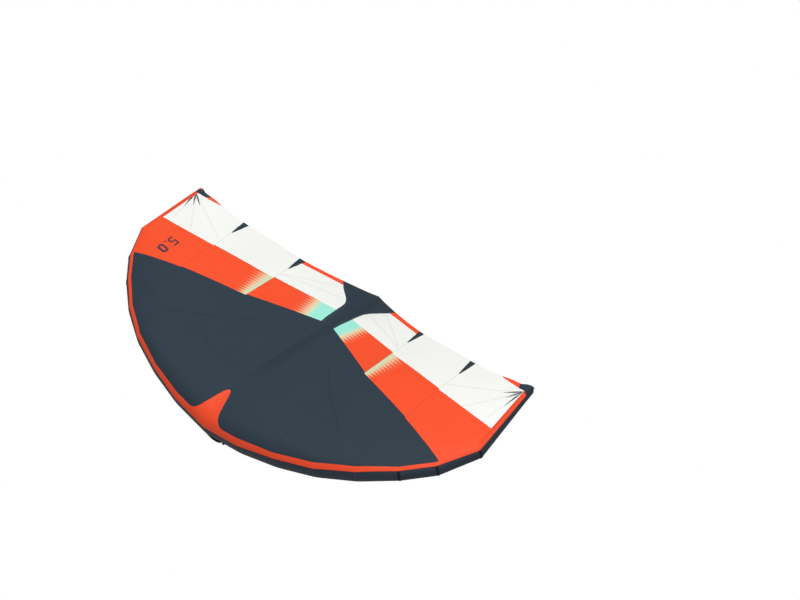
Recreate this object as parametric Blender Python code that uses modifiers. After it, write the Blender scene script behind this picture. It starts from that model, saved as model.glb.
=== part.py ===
"""Inflatable hand-held wing: a V-shaped air tube in front, one centre strut and a sewn canopy.

Metres, +Z up. The wing flies towards -Y. "left" is -X, as seen from in front of the nose.
Shapes are drawn with the nose of the tube's axis at the origin, and all of them hang on one empty
that puts the origin at the balance point under the strut, between its two handles.
"""

import math

import bmesh
import bpy
import numpy as np
from mathutils import Matrix, Vector

# Air tube of the leading edge: outermost seam, tip and size at the nose
reach = 1.649
sweep = 1.340
rise = 0.395
nose_radius = 0.1435
tube_sides = 24
# Its nine sewn stations, nose to tip
seam_span_shares = (0, 0.185, 0.36, 0.525, 0.675, 0.813, 0.916, 1.0, 0.985)
seam_sweep_shares = (0, 0.010, 0.044, 0.094, 0.171, 0.275, 0.392, 0.569, 1.0)
seam_rise_shares = (0, 0.124, 0.235, 0.355, 0.466, 0.563, 0.66, 0.798, 1.0)
seam_radius_shares = (1.0, 0.985, 0.905, 0.77, 0.615, 0.45, 0.40, 0.355, 0.24)
# Angles round the tube, up from straight ahead, in shares of a quarter turn
band_low_shares = (0.07, 0.075, 0.125, 0.16, 0.29, 0.495, 0.68, 0.78, 0.78)
band_high_shares = (0.365, 0.365, 0.41, 0.51, 0.67, 0.905, 0.905, 0.905, 0.905)
leave_shares = (0.72, 0.72, 0.74, 0.78, 0.84, 0.95, 0.95, 0.95, 0.95)

# Canopy: trailing edge at the strut, then its stations between there and the tip of the tube
root_chord = 1.711
trailing_drop = 0.027
trailing_span_shares = (0, 0.185, 0.3775, 0.542, 0.706, 0.831, 0.9175)
trailing_sweep_shares = (0, 0.345, 0.609, 0.739, 0.879, 0.938, 0.954)
trailing_rise_shares = (0, 0.211, 0.410, 0.581, 0.749, 0.877, 0.976)
tip_corner_share = 0.65
tip_ledge = 0.026
tip_ledge_drop = 0.003
camber = 0.095
camber_shares = (1.0, 0.74, 0.505, 0.45, 0.38, 0.285, 0.18, 0.105, 0.042)
crest_share = 0.22
rear_fall = 1.8

# Where the colours of the canopy are sewn, as plan points in shares of reach and root chord
dark_seam_shares = ((0.039, 0.653), (0.3645, 0.5045), (0.684, 0.394), (0.918, 0.315))
white_seam_shares = ((0.050, 0.762), (0.368, 0.678), (0.688, 0.597), (0.9855, 0.5395))
white_end_share = 0.277
neck_station = 0.215
tail_panel_shares = ((0.215, 0.676), (0.27, 0.7745), (0.292, 0.82), (0.335, 0.862),
                     (0.42, 0.89), (0.56, 0.915), (0.75, 0.957), (0.92, 1.0))
inner_dart_length = 0.158
outer_dart_length = 0.153
dart_width = 0.053
hem_width = 0.040
tip_hem_width = 0.045
tip_hem_start_share = 0.49
tip_corner_ease = 0.2
tip_patch_start_share = 0.918
patch_notch = 0.003
tip_line_station = 7.6
tip_bend_station = 7.59
inner_white_rows = (0.7957, 0.82, 0.862, 0.886, 0.915, 0.958)
narrow_row = 0.886
inner_hem_share = 0.97
least_row_step = 0.002
patch_half_station = 0.62
patch_reach_share = 0.112
patch_bell = 0.257

# Strut: rings along the root chord
strut_radius = 0.100
strut_sag = 0.0625
tail_overhang = 0.009
strut_length_shares = (0.064, 0.175, 0.275, 0.38, 0.485, 0.614, 0.695, 0.789, 0.8825, 0.958)
strut_radius_shares = (0.99, 1.0, 0.98, 0.93, 0.86, 0.86, 0.78, 0.61, 0.38, 0.31)
strut_height_shares = (-0.70, -0.735, -0.655, -0.43, -0.13, 0.065, 0, -0.35, -0.80, -1.0)
tail_radius = 0.033
tail_height_share = -0.96
strut_seams = (2, 4)
seat_start = 0.93
seat_end = 1.10
seat_spread = 0.12

# Cloth, film and seams
cloth = 0.001
film = 0.0008
seam_gap = 0.0003
sharpest = 0.008
film_gap = 0.0006
skin_clearance = 0.0009
leave_clearance = 0.0018
leave_slope = 0.05
clear_share = 0.25
pad_clearance = 0.0004
pad_thickness = 0.003

# End caps
tip_cap_length = 0.080
tip_cap_beyond = 0.022
tip_cap_round = 0.018
tail_cap_round = 0.010
cap_wall = 0.002

# Handles: padded grips on sewn webbing, each swinging on the line through its two ends
webbing_drop = 0.012
grip_thickness = 0.024
grip_width = 0.047
grip_end_share = 0.37
grip_flare = 0.048
grip_lead = 0.007
front_grip_shares = (0.097, 0.246)
rear_grip_shares = (0.489, 0.6585)
front_depth = 0.055
rear_depth = 0.063
web_reach = 0.047
nose_grip_half = 0.100
nose_drop = 0.013
nose_grip_depth = 0.041
nose_grip_tilt = math.radians(-58)
stub_length = 0.014
stub_width = 0.022
stub_bed_share = 0.4
pad_half_station = 0.40
pad_facets = (-3, -4, -5, -6)
pad_width_shares = (1.0, 1.0, 0.86, 0.55)

# Transfer hose between the bladders, and the inflation valve
hose_radius = 0.010
hose_bore = 0.0075
hose_start = 0.118
hose_end = 0.205
hose_height = -0.044
strut_bladder_start = 0.190
bladder_shoulder = 0.070
bladder_end = 0.020
bladder_back = 0.13
valve_station = 0.72
valve_facet = 13.5
flange_radius = 0.024
flange_thickness = 0.0025
collar_radius = 0.0135
collar_height = 0.008
sleeve_radius = 0.0145
sleeve_depth = 0.014
valve_bore = 0.0105
cap_radius = 0.0185
cap_rim = 0.0155
cap_height = 0.0115
cap_roof = 0.003
cap_hinge_out = 0.0275
cap_lift = 0.0006
strap_width = 0.010
strap_thickness = 0.0022
strap_bead = 0.0018

# Balance point under the strut, between the handles
hold_back = 0.620
overrun = 0.02
small = 1e-6

quarter = 90.0
collection = bpy.data.collections.new("wingfoil_wing")
helpers = bpy.data.collections.new("cutters")
materials = {}


def clear_scene():
    for item in list(bpy.data.objects):
        bpy.data.objects.remove(item, do_unlink=True)
    bpy.context.scene.collection.children.link(collection)
    bpy.context.scene.collection.children.link(helpers)
    helpers.hide_render = True


def linear(value):
    value /= 255
    return value / 12.92 if value <= 0.04045 else ((value + 0.055) / 1.055) ** 2.4


def material(name):
    if name in materials:
        return materials[name]
    colour, roughness = {
        "dark_tube_cloth": ((30, 40, 48), 0.62),
        "dark_canopy_cloth": ((52, 64, 74), 0.55),
        "orange_cloth": ((250, 86, 50), 0.55),
        "white_cloth": ((243, 244, 240), 0.5),
        "black_webbing": ((20, 21, 23), 0.8),
        "grey_pad": ((58, 59, 60), 0.85),
        "clear_film": ((214, 218, 216), 0.3),
        "black_plastic": ((26, 27, 29), 0.45),
        "black_rubber": ((24, 24, 25), 0.7),
    }[name]
    made = bpy.data.materials.new(name)
    made.use_nodes = True
    shader = made.node_tree.nodes["Principled BSDF"]
    shader.inputs["Base Color"].default_value = (*[linear(c) for c in colour], 1)
    shader.inputs["Roughness"].default_value = roughness
    shader.inputs["Metallic"].default_value = 0
    made.diffuse_color = shader.inputs["Base Color"].default_value
    materials[name] = made
    return made


def unit(v):
    return v / np.linalg.norm(v)


# Stations of the air tube and the mitre frame of each: a points outwards, b upwards
centres = [
    np.array((a * reach, b * sweep, c * rise))
    for a, b, c in zip(seam_span_shares, seam_sweep_shares, seam_rise_shares)
]
radii = [share * nose_radius for share in seam_radius_shares]
last = len(centres) - 1


def mitre_frame(i):
    if i == 0:
        along = np.array((1.0, 0, 0))
    elif i == last:
        along = unit(centres[last] - centres[last - 1])
    else:
        along = unit(unit(centres[i] - centres[i - 1]) + unit(centres[i + 1] - centres[i]))
    up = np.array((0, 0, 1.0))
    b = unit(up - along * (up @ along))
    return np.cross(along, b), b, along


frames = [mitre_frame(i) for i in range(last + 1)]


def between(table, u):
    i = min(int(u), last - 1)
    f = u - i
    return (1 - f) * np.asarray(table[i], float) + f * np.asarray(table[i + 1], float)


def ring_point(i, degrees, radius):
    a, b, _ = frames[i]
    turn = math.radians(degrees)
    return centres[i] + radius * (math.cos(turn) * a + math.sin(turn) * b)


def on_tube(u, degrees, extra=0.0):
    """A point over the tube at station u, at this angle up from straight ahead."""
    i = min(int(u), last - 1)
    f = u - i
    near = ring_point(i, degrees, radii[i] + extra)
    return (1 - f) * near + f * ring_point(i + 1, degrees, radii[i + 1] + extra)


def low(u):
    return quarter * between(band_low_shares, u)


def high(u):
    return quarter * between(band_high_shares, u)


def leave(u):
    return quarter * between(leave_shares, u)


# Strut rings: distance back, height of the axis, radius
strut_rings = [
    (a * root_chord, b * strut_sag, c * strut_radius)
    for a, b, c in zip(strut_length_shares, strut_height_shares, strut_radius_shares)
]
strut_rings.append((root_chord + tail_overhang, tail_height_share * strut_sag, tail_radius))


def strut_at(y):
    backs = [ring[0] for ring in strut_rings]
    height = np.interp(y, backs, [ring[1] for ring in strut_rings])
    return height, np.interp(y, backs, [ring[2] for ring in strut_rings])


def on_strut(y, degrees, extra=0.0):
    height, radius = strut_at(y)
    turn = math.radians(degrees)
    return np.array((
        (radius + extra) * math.cos(turn),
        y,
        height + (radius + extra) * math.sin(turn),
    ))


# Trailing edge, station by station; its tip end lies just inside the top of the tube's tip
def trailing_stations():
    tip = centres[last]
    found = [
        np.array((
            a * tip[0],
            root_chord + (tip[1] - root_chord) * b,
            -trailing_drop + (tip[2] + trailing_drop) * c,
        ))
        for a, b, c in zip(trailing_span_shares, trailing_sweep_shares, trailing_rise_shares)
    ]
    a, b, _ = frames[last]
    end = on_tube(last, leave(last), skin_clearance) - a * tip_ledge - b * tip_ledge_drop
    found.append(found[-1] + (end - found[-1]) * tip_corner_share)
    found.append(end)
    return found


trailing = trailing_stations()


def crown(s):
    if s < crest_share:
        return 1 - (1 - s / crest_share) ** 2
    return 1 - ((s - crest_share) / (1 - crest_share)) ** rear_fall


def start(u):
    return on_tube(u, leave(u), skin_clearance)


def chord(u):
    return np.linalg.norm((between(trailing, u) - start(u))[:2])


def front(u):
    """Where the cloth ends on the tube, at the orange band, as a negative share of the chord."""
    return -between(radii, u) * math.radians(leave(u) - high(u)) / chord(u)


def free_canopy(u, s):
    point = start(u) + (between(trailing, u) - start(u)) * s
    point[2] += camber * between(camber_shares, u) * crown(s)
    return point


def clear_of_tube(point, clearance):
    """Moves a point straight out to the clearance round the tube, if it is inside that."""
    best = None
    for i in range(last):
        axis = centres[i + 1] - centres[i]
        f = min(max((point - centres[i]) @ axis / (axis @ axis), 0), 1)
        middle = centres[i] + f * axis
        away = np.linalg.norm(point - middle) - (radii[i] + f * (radii[i + 1] - radii[i]))
        if best is None or away < best[0]:
            best = (away, middle)
    if best[0] >= clearance:
        return point
    return point + unit(point - best[1]) * (clearance - best[0])


def canopy(u, s):
    """A point under the cloth, at station u and share s of the chord. Left stations are negative."""
    side = -1 if u < 0 else 1
    u = abs(u)
    if s < 0:
        turn = leave(u) + (high(u) - leave(u)) * s / front(u)
        point = on_tube(u, turn, skin_clearance)
    else:
        point = free_canopy(u, s)
        if small < s < clear_share:
            point = clear_of_tube(point, min(leave_clearance, skin_clearance + leave_slope * s * chord(u)))
        ease = min(max((point[1] - seat_start) / (seat_end - seat_start), 0), 1)
        ease = ease * ease * (3 - 2 * ease)
        if ease > 0:
            nose = start(0)
            middle = free_canopy(0, (point[1] - nose[1]) / (trailing[0][1] - nose[1]))
            height, radius = strut_at(point[1])
            seat = height + radius + skin_clearance - middle[2]
            point[2] += seat * ease * math.exp(-((point[0] / seat_spread) ** 2))
    return point * np.array((side, 1, 1))


def crossing(u, p, q):
    """Share of the chord where the column at u crosses the plan line p to q, not before the band."""
    a = start(u)[:2]
    d = between(trailing, u)[:2] - a
    e = q - p
    s = ((p[0] - a[0]) * e[1] - (p[1] - a[1]) * e[0]) / (d[0] * e[1] - d[1] * e[0])
    return max(s, front(u))


def plan(share):
    return np.array((share[0] * reach, share[1] * root_chord))


def seam_share(u, shares):
    bay = 0 if u <= 2 else 1 if u <= 4 else 2
    return crossing(u, plan(shares[bay]), plan(shares[bay + 1]))


white_end = last - 1 + white_end_share


def dark_seam(u):
    if u < neck_station:
        back = plan(dark_seam_shares[0])
        return crossing(u, back, back + np.array((-reach, 0)))
    return seam_share(u, dark_seam_shares)


def white_seam(u):
    return front(u) if u >= white_end - small else seam_share(u, white_seam_shares)


def patch_edge(u):
    """Rear edge of the centre patch, a bell that stands on the edge of the band."""
    if u >= patch_half_station:
        return front(u)
    nose = patch_reach_share * root_chord / chord(0)
    foot = math.exp(-((patch_half_station / patch_bell) ** 2))
    rise = (math.exp(-((u / patch_bell) ** 2)) - foot) / (1 - foot)
    return front(u) + (nose - front(u)) * rise


def side_station(s):
    """Half width, in stations, of the dark tail panel."""
    shares = [share for _, share in tail_panel_shares]
    return float(np.interp(s, shares, [station for station, _ in tail_panel_shares]))


def dart_half(u_seam, outward):
    """Half of a dart at the trailing edge, in stations."""
    neighbour = u_seam + (1 if outward else -1)
    return dart_width / 2 / abs(trailing[neighbour][0] - trailing[u_seam][0])


def hem(u):
    return 1 - hem_width / chord(u)


def mesh_object(name, points, faces, colour, holder=None):
    data = bpy.data.meshes.new(name)
    data.from_pydata([tuple(p) for p in points], [], faces)
    data.validate()
    made = bpy.data.objects.new(name, data)
    data.materials.append(material(colour))
    (holder or collection).objects.link(made)
    made.parent = frame
    return made


def edit(made, work):
    shape = bmesh.new()
    shape.from_mesh(made.data)
    work(shape)
    shape.to_mesh(made.data)
    shape.free()


def draw_in(shape):
    """Moves the open edge of a sheet inwards by half the seam gap, square to each edge."""
    moves = {}
    shape.normal_update()
    for vert in shape.verts:
        inward = []
        for edge in vert.link_edges:
            if not edge.is_boundary:
                continue
            face = edge.link_faces[0]
            along = (edge.verts[1].co - edge.verts[0].co).normalized()
            square = along.cross(face.normal).normalized()
            middle = (edge.verts[0].co + edge.verts[1].co) / 2
            if square.dot(face.calc_center_median() - middle) < 0:
                square.negate()
            inward.append(square)
        if len(inward) == 2:
            both = inward[0] + inward[1]
            moves[vert] = both * (seam_gap / 2 / max(1 + inward[0].dot(inward[1]), sharpest))
    for vert, move in moves.items():
        vert.co += move


def bulging(points, quad, out):
    """The two triangles of a quad whose shared edge stands further out."""
    a, b, c, d = (points[k] for k in quad)
    normal = np.cross(c - a, d - b)
    if normal @ out < 0:
        normal = -normal
    if (a + c) @ normal > (b + d) @ normal:
        return [(quad[0], quad[1], quad[2]), (quad[0], quad[2], quad[3])]
    return [(quad[1], quad[2], quad[3]), (quad[1], quad[3], quad[0])]


def sheet(name, grid, colour, thickness=cloth, inset=True, out=(0, 0, 1)):
    """A cloth panel on a grid of points, thickened outwards. Corners that coincide become one."""
    rows, columns = len(grid), len(grid[0])
    points = [p for row in grid for p in row]
    faces = []
    for r in range(rows - 1):
        for c in range(columns - 1):
            corner = r * columns + c
            quad = (corner, corner + 1, corner + columns + 1, corner + columns)
            faces += bulging(points, quad, np.array(out))
    made = mesh_object(name, points, faces, colour)

    def finish(shape):
        bmesh.ops.remove_doubles(shape, verts=shape.verts, dist=seam_gap / 3)
        bmesh.ops.recalc_face_normals(shape, faces=shape.faces)
        facing = sum((face.normal * face.calc_area() for face in shape.faces), Vector())
        if facing.dot(Vector(out)) < 0:
            bmesh.ops.reverse_faces(shape, faces=shape.faces)
        if inset:
            draw_in(shape)

    edit(made, finish)
    shell(made, thickness, 1)
    made.data.shade_smooth()
    made.data.set_sharp_from_angle(angle=math.radians(40))
    return made


def shell(made, thickness, offset):
    solid = made.modifiers.new("thickness", "SOLIDIFY")
    solid.thickness = thickness
    solid.offset = offset
    solid.use_even_offset = True


def pipe(name, outer, inner, colour):
    """A mitred tube between two outer rings and two inner rings, with flat ends in their planes."""
    count = len(outer[0])
    rings = [outer[0], outer[1], inner[1], inner[0]]
    points = [p for ring in rings for p in ring]
    faces = [
        (a * count + c, a * count + (c + 1) % count, b * count + (c + 1) % count, b * count + c)
        for a, b in ((0, 1), (1, 2), (2, 3), (3, 0))
        for c in range(count)
    ]
    made = mesh_object(name, points, faces, colour)
    edit(made, lambda shape: bmesh.ops.recalc_face_normals(shape, faces=shape.faces))
    made.data.shade_smooth()
    made.data.set_sharp_from_angle(angle=math.radians(40))
    return made


def loft(name, rings, colour, thickness, close=()):
    """An open tube through rings of equal count, thickened inwards; close names its capped ends."""
    count = len(rings[0])
    points = [p for ring in rings for p in ring]
    faces = [
        (r * count + c, r * count + (c + 1) % count, (r + 1) * count + (c + 1) % count, (r + 1) * count + c)
        for r in range(len(rings) - 1)
        for c in range(count)
    ]
    if 0 in close:
        faces.append(tuple(range(count)))
    if 1 in close:
        faces.append(tuple((len(rings) - 1) * count + c for c in range(count)))
    made = mesh_object(name, points, faces, colour)

    def finish(shape):
        bmesh.ops.recalc_face_normals(shape, faces=shape.faces)
        outwards = sum(
            face.normal.dot(face.calc_center_median() - Vector(np.mean(rings[0], axis=0)))
            for face in shape.faces
            if len(face.verts) == 4
        )
        if outwards < 0:
            bmesh.ops.reverse_faces(shape, faces=shape.faces)

    edit(made, finish)
    shell(made, thickness, -1)
    made.data.shade_smooth()
    made.data.set_sharp_from_angle(angle=math.radians(40))
    return made


def boolean(made, other, operation):
    cut = made.modifiers.new(other.name, "BOOLEAN")
    cut.operation = operation
    cut.object = other
    cut.solver = "EXACT"


def helper(made):
    made.hide_render = True
    made.display_type = "WIRE"
    for home in list(made.users_collection):
        home.objects.unlink(made)
    helpers.objects.link(made)
    return made


def turned(name, profile, colour, steps=24):
    """A profile of radius and height, listed down its outer side, turned about Z."""
    made = mesh_object(name, [(r, 0, z) for r, z in profile], [], colour)
    shape = bmesh.new()
    verts = [shape.verts.new((r, 0, z)) for r, z in profile]
    for a, b in zip(verts, verts[1:]):
        shape.edges.new((a, b))
    if profile[0][0] > small:
        shape.edges.new((verts[-1], verts[0]))
    shape.to_mesh(made.data)
    shape.free()
    spin = made.modifiers.new("turn", "SCREW")
    spin.steps = steps
    spin.render_steps = steps
    spin.use_merge_vertices = True
    spin.merge_threshold = seam_gap / 3
    return made


def aim(made, location, along, up=(0, 0, 1)):
    """Puts an object's Z axis along a direction, with its Y axis as near to up as that allows."""
    z = Vector(along).normalized()
    x = Vector(up).cross(z).normalized()
    y = z.cross(x)
    made.matrix_basis = Matrix.Translation(Vector(location)) @ Matrix((x, y, z)).transposed().to_4x4()


clear_scene()
frame = bpy.data.objects.new("balance_point", None)
collection.objects.link(frame)
hold_height, hold_radius = strut_at(hold_back)
hold_point = np.array((0, hold_back, hold_height - hold_radius))
frame.location = Vector(-hold_point)


def tube_ring(u, extra, sides=tube_sides):
    return [on_tube(u, 360 * k / sides, extra) for k in range(sides)]


def mirrored(rings, side):
    return [[p * np.array((side, 1, 1)) for p in ring] for ring in rings]


sides_named = (("left", -1), ("right", 1))
tip_length = float(np.linalg.norm(centres[last] - centres[last - 1]))
cap_station = last - (tip_cap_length - tip_cap_beyond) / tip_length


def make_tube():
    """Eight mitred casing segments a side, seam to seam."""
    for name, side in sides_named:
        for i in range(last):
            length = np.linalg.norm(centres[i + 1] - centres[i])
            end = cap_station if i == last - 1 else i + 1
            ends = (i + seam_gap / 2 / length, end - seam_gap / 2 / length)
            outer = mirrored([tube_ring(u, 0) for u in ends], side)
            inner = mirrored([tube_ring(u, -cloth) for u in ends], side)
            pipe(f"le_segment_{name}_{i + 1}", outer, inner, "dark_tube_cloth")


patch_stations = (0, 0.05, 0.1, 0.16, neck_station, 0.26, 0.305, 0.35, 0.41, 0.5, patch_half_station)
patch_rows = (0, 0.07, 0.14, 0.2, 0.27, 0.45, 0.7, 1)


def make_band():
    """The orange band along the nose of the tube, tip to tip."""
    steps = 4
    ends = list(patch_stations[1:]) + [k / 2 for k in range(2, 2 * last - 1)]
    ends += [white_end, tip_line_station, last]
    stations = [-u for u in reversed(ends)] + [0] + ends
    grid = []
    for row in range(steps + 1):
        line = []
        for u in stations:
            v = abs(u)
            p = on_tube(v, low(v) + (high(v) - low(v)) * row / steps, skin_clearance)
            line.append(p * np.array((-1 if u < 0 else 1, 1, 1)))
        grid.append(line)
    sheet("le_band", grid, "orange_cloth")


def make_centre_patch():
    stations = [-u for u in reversed(patch_stations[1:])] + list(patch_stations)
    grid = [
        [canopy(u, front(abs(u)) + (patch_edge(abs(u)) - front(abs(u))) * w) for u in stations]
        for w in patch_rows
    ]
    sheet("le_centre_patch", grid, "orange_cloth")


def panel_grid(left, right, first, last_line, stations, sliding=False, bend=None):
    """Rows between two seam lines, with ends that follow two side seams row by row.
    With a bend, the rows leave their shares of the left end only from that station on.
    """
    rows = len(left)

    def weight(u, s, k):
        span = last_line(u) - first(u)
        return (s - first(u)) / span if abs(span) > small else k / (rows - 1)

    grid = []
    for k in range(rows):
        (u0, s0), (u1, s1) = left[k], right[k]
        w0 = weight(u0, s0, k)
        w1 = weight(u1, s1, k)
        turn = u0 if bend is None else bend
        line = []
        for j, station in enumerate(stations):
            u = station
            if j == 0:
                u = u0
            elif j == len(stations) - 1:
                u = u1
            elif sliding:
                u = u0 + (stations[-1] - u0) * (station - stations[0]) / (stations[-1] - stations[0])
            w = w0 + (w1 - w0) * max(u - turn, 0) / (u1 - turn)
            line.append(canopy(u, first(u) + (last_line(u) - first(u)) * w))
        grid.append(line)
    return grid


def spread(a, b, count):
    return [a + (b - a) * k / count for k in range(count + 1)]


inner_stations = (neck_station, 0.35, 0.5, patch_half_station, 1, 1.5, 2)
middle_stations = (2, 2.5, 3, 3.5, 4)
tip_hem_start = 5 + tip_hem_start_share
outer_stations = (4, 4.5, 5, tip_hem_start, 6, 6.5, 7, white_end)


def both_sides(name, grid, colour):
    for side_name, side in sides_named:
        sheet(f"{name}_{side_name}", [[p * np.array((side, 1, 1)) for p in row] for row in grid], colour)


def make_front_panels():
    stations = patch_stations + inner_stations[4:] + middle_stations[1:] + outer_stations[1:5]
    rows = (0, 0.013, 0.027, 0.042, 0.057, 0.075, 0.1, 0.14, 0.2, 0.28, 0.38, 0.5, 0.64, 0.8, 1)
    grid = [
        [canopy(u, patch_edge(u) + (dark_seam(u) - patch_edge(u)) * w) for u in stations]
        for w in rows
    ]
    both_sides("canopy_front", grid, "dark_canopy_cloth")


def straight(u, a, b, count):
    return [(u, s) for s in spread(a, b, count)]


def make_orange_panels():
    left = [(side_station(s), s) for s in spread(dark_seam(neck_station), side_top, 3)]
    right = straight(2, dark_seam(2), white_seam(2), 3)
    grid = panel_grid(left, right, dark_seam, white_seam, inner_stations, True)
    both_sides("canopy_orange_1", grid, "orange_cloth")
    left = straight(2, dark_seam(2 + small), white_seam(2 + small), 3)
    right = straight(4, dark_seam(4), white_seam(4), 3)
    grid = panel_grid(left, right, dark_next, white_next, middle_stations)
    both_sides("canopy_orange_2", grid, "orange_cloth")
    left = straight(4, dark_last(4), white_last(4), 5)
    right = straight(white_end, front(white_end), front(white_end), 5)
    grid = panel_grid(left, right, dark_last, white_last, outer_stations)
    both_sides("canopy_orange_3", grid, "orange_cloth")


def dark_next(u):
    return crossing(u, plan(dark_seam_shares[1]), plan(dark_seam_shares[2]))


def white_next(u):
    return crossing(u, plan(white_seam_shares[1]), plan(white_seam_shares[2]))


def dark_last(u):
    return front(u) if u > 6 else crossing(u, plan(dark_seam_shares[2]), plan(dark_seam_shares[3]))


def white_last(u):
    if u >= white_end - small:
        return front(u)
    return crossing(u, plan(white_seam_shares[2]), plan(white_seam_shares[3]))


# Seam lines at the tail panel and at the tip
def tail_crossing():
    """Share of the chord where the white seam meets the tail panel."""
    s = tail_panel_shares[1][1]
    for _ in range(8):
        s = white_seam(side_station(s))
    return s


side_top = tail_crossing()
tip_patch_end = last - 1 + tip_patch_start_share


def tip_line(u):
    """Rear edge of the outer white panel: trailing edge, then the tip hem, then the tip patch."""
    hem_start = between(trailing, tip_hem_start)[:2]
    corner = canopy(last - 1, 1 - tip_hem_width / chord(last - 1))[:2]
    end = on_tube(tip_patch_end, high(tip_patch_end), skin_clearance)[:2]
    if u <= tip_hem_start + small:
        return 1
    if u <= last - 1 + small:
        return crossing(u, hem_start, corner)
    return crossing(u, corner, end)


def make_white_panels():
    tip = 1 - inner_dart_length / chord(2)
    inner = dart_half(2, False)
    outer = dart_half(2, True)
    tail_rows = [side_top, *inner_white_rows, hem(side_station(inner_hem_share))]
    left = [(side_station(s), s) for s in tail_rows]
    right_rows = spread(white_seam(2), tip, 6) + [hem(2)]
    right = [(2 - inner * max(s - tip, 0) / (1 - tip), s) for s in right_rows]
    grid = panel_grid(left, right, white_seam, hem, inner_stations, True)
    both_sides("canopy_white_1", grid, "white_cloth")

    far = 1 - outer_dart_length / chord(4)
    reach_in = dart_half(4, False)
    reach_out = dart_half(4, True)
    rows = spread(white_next(2), tip, 4) + [hem(2), 1]
    left = [(2 + outer * max(s - tip, 0) / (1 - tip), s) for s in rows]
    rows = spread(white_next(4), far, 4) + [hem(4), 1]
    right = [(4 - reach_in * max(s - far, 0) / (1 - far), s) for s in rows]
    grid = panel_grid(left, right, white_next, lambda u: 1, middle_stations)
    both_sides("canopy_white_2", grid, "white_cloth")

    rows = spread(white_last(4), far, 4) + [hem(4), 1]
    left = [(4 + reach_out * max(s - far, 0) / (1 - far), s) for s in rows]
    ahead = front(tip_patch_end)
    behind = tip_line(tip_patch_end)
    ahead += tip_corner_ease * (behind - ahead)
    shares = [(s - white_last(4)) / (1 - white_last(4)) for _, s in left]
    right = [(tip_patch_end, ahead + (behind - ahead) * share) for share in shares]
    stations = outer_stations + (tip_line_station, tip_patch_end)
    grid = panel_grid(left, right, white_last, tip_line, stations, bend=tip_bend_station)
    both_sides("canopy_white_3", grid, "white_cloth")


def make_darts():
    for name, u, length in (("inner", 2, inner_dart_length), ("outer", 4, outer_dart_length)):
        tip = 1 - length / chord(u)
        grid = []
        for s in (tip, (tip + hem(u)) / 2, hem(u), 1):
            w = (s - tip) / (1 - tip)
            edges = (u - dart_half(u, False) * w, u, u + dart_half(u, True) * w)
            grid.append([canopy(v, s) for v in edges])
        both_sides(f"dart_{name}", grid, "dark_canopy_cloth")


def make_hems():
    tip = 1 - inner_dart_length / chord(2)
    inner = dart_half(2, False)
    s_left = hem(side_station(inner_hem_share))
    left = [(side_station(s_left), s_left), (side_station(1), 1)]
    right = [(2 - inner * (s - tip) / (1 - tip), s) for s in (hem(2), 1)]
    both_sides("hem_inner", panel_grid(left, right, hem, lambda u: 1, inner_stations, True), "orange_cloth")
    stations = outer_stations[3:7]
    grid = [[canopy(u, tip_line(u) + (1 - tip_line(u)) * w) for u in stations] for w in (0, 1)]
    both_sides("hem_tip", grid, "orange_cloth")


def make_tip_patches():
    stations = (last - 1, white_end, tip_line_station, tip_patch_end, tip_patch_end + patch_notch, last)
    grid = [
        [canopy(u, (tip_line(u) if u <= tip_patch_end else front(u)) * (1 - w) + w) for u in stations]
        for w in (0, 0.5, 1)
    ]
    both_sides("tip_patch", grid, "dark_canopy_cloth")


def make_tail_panel():
    nose = start(0)[1]
    seats = [(ring[0] - nose) / (trailing[0][1] - nose) for ring in strut_rings]
    rows = {s for _, s in tail_panel_shares} | {side_top, narrow_row, hem(side_station(inner_hem_share))}
    rows |= {s for s in seats if dark_seam(0) < s < 1}
    rows = sorted(s for s in rows if s > tail_panel_shares[0][1] + least_row_step)
    across = (0, 0.14, 0.465, 1)
    across = [-f for f in reversed(across[1:])] + list(across)
    grid = [[canopy(f * neck_station, dark_seam(abs(f) * neck_station)) for f in across]]
    for s in rows:
        grid.append([canopy(f * side_station(s), s) for f in across])
    sheet("canopy_tail", grid, "dark_canopy_cloth")


def strut_ring(y, extra=0.0, sides=tube_sides):
    return [on_strut(y, 360 * k / sides, extra) for k in range(sides)]


def make_mouth_cutter():
    """The nose of the tube, grown by the seam gap and filled, which cuts the mouth of the strut."""
    rings = [[p * np.array((-1, 1, 1)) for p in tube_ring(1, seam_gap)]]
    rings += [tube_ring(0, seam_gap), tube_ring(1, seam_gap)]
    count = tube_sides
    points = [p for ring in rings for p in ring]
    faces = [
        (r * count + c, r * count + (c + 1) % count, (r + 1) * count + (c + 1) % count, (r + 1) * count + c)
        for r in range(2)
        for c in range(count)
    ]
    faces += [tuple(range(count)), tuple(2 * count + c for c in range(count))]
    made = mesh_object("mouth_cutter", points, faces, "black_rubber")
    edit(made, lambda shape: bmesh.ops.recalc_face_normals(shape, faces=shape.faces))
    return helper(made)


tail_cap_start = strut_rings[-2][0]


def make_strut():
    cuts = [None] + [strut_rings[i][0] for i in strut_seams] + [tail_cap_start]
    for name, y0, y1 in zip(("front", "middle", "rear"), cuts, cuts[1:]):
        first = strut_ring(0 if y0 is None else y0 + seam_gap / 2)
        inside = [r[0] for r in strut_rings if (y0 or 0) < r[0] - small and r[0] < y1 - small]
        rings = [first] + [strut_ring(y) for y in inside] + [strut_ring(y1 - seam_gap / 2)]
        made = loft(f"strut_{name}", rings, "dark_tube_cloth", cloth)
        if y0 is None:
            boolean(made, mouth_cutter, "DIFFERENCE")


def make_tail_cap():
    end, height, radius = strut_rings[-1]
    steps = 4
    rings = [strut_ring(tail_cap_start + seam_gap / 2), strut_ring(end - tail_cap_round)]
    for k in range(1, steps + 1):
        turn = math.pi / 2 * k / steps
        y = end - tail_cap_round * (1 - math.sin(turn))
        rings.append([
            np.array((p[0], y, p[2]))
            for p in strut_ring(end, -tail_cap_round * (1 - math.cos(turn)))
        ])
    loft("strut_tail_cap", rings, "orange_cloth", cap_wall, close=(1,))


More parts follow.
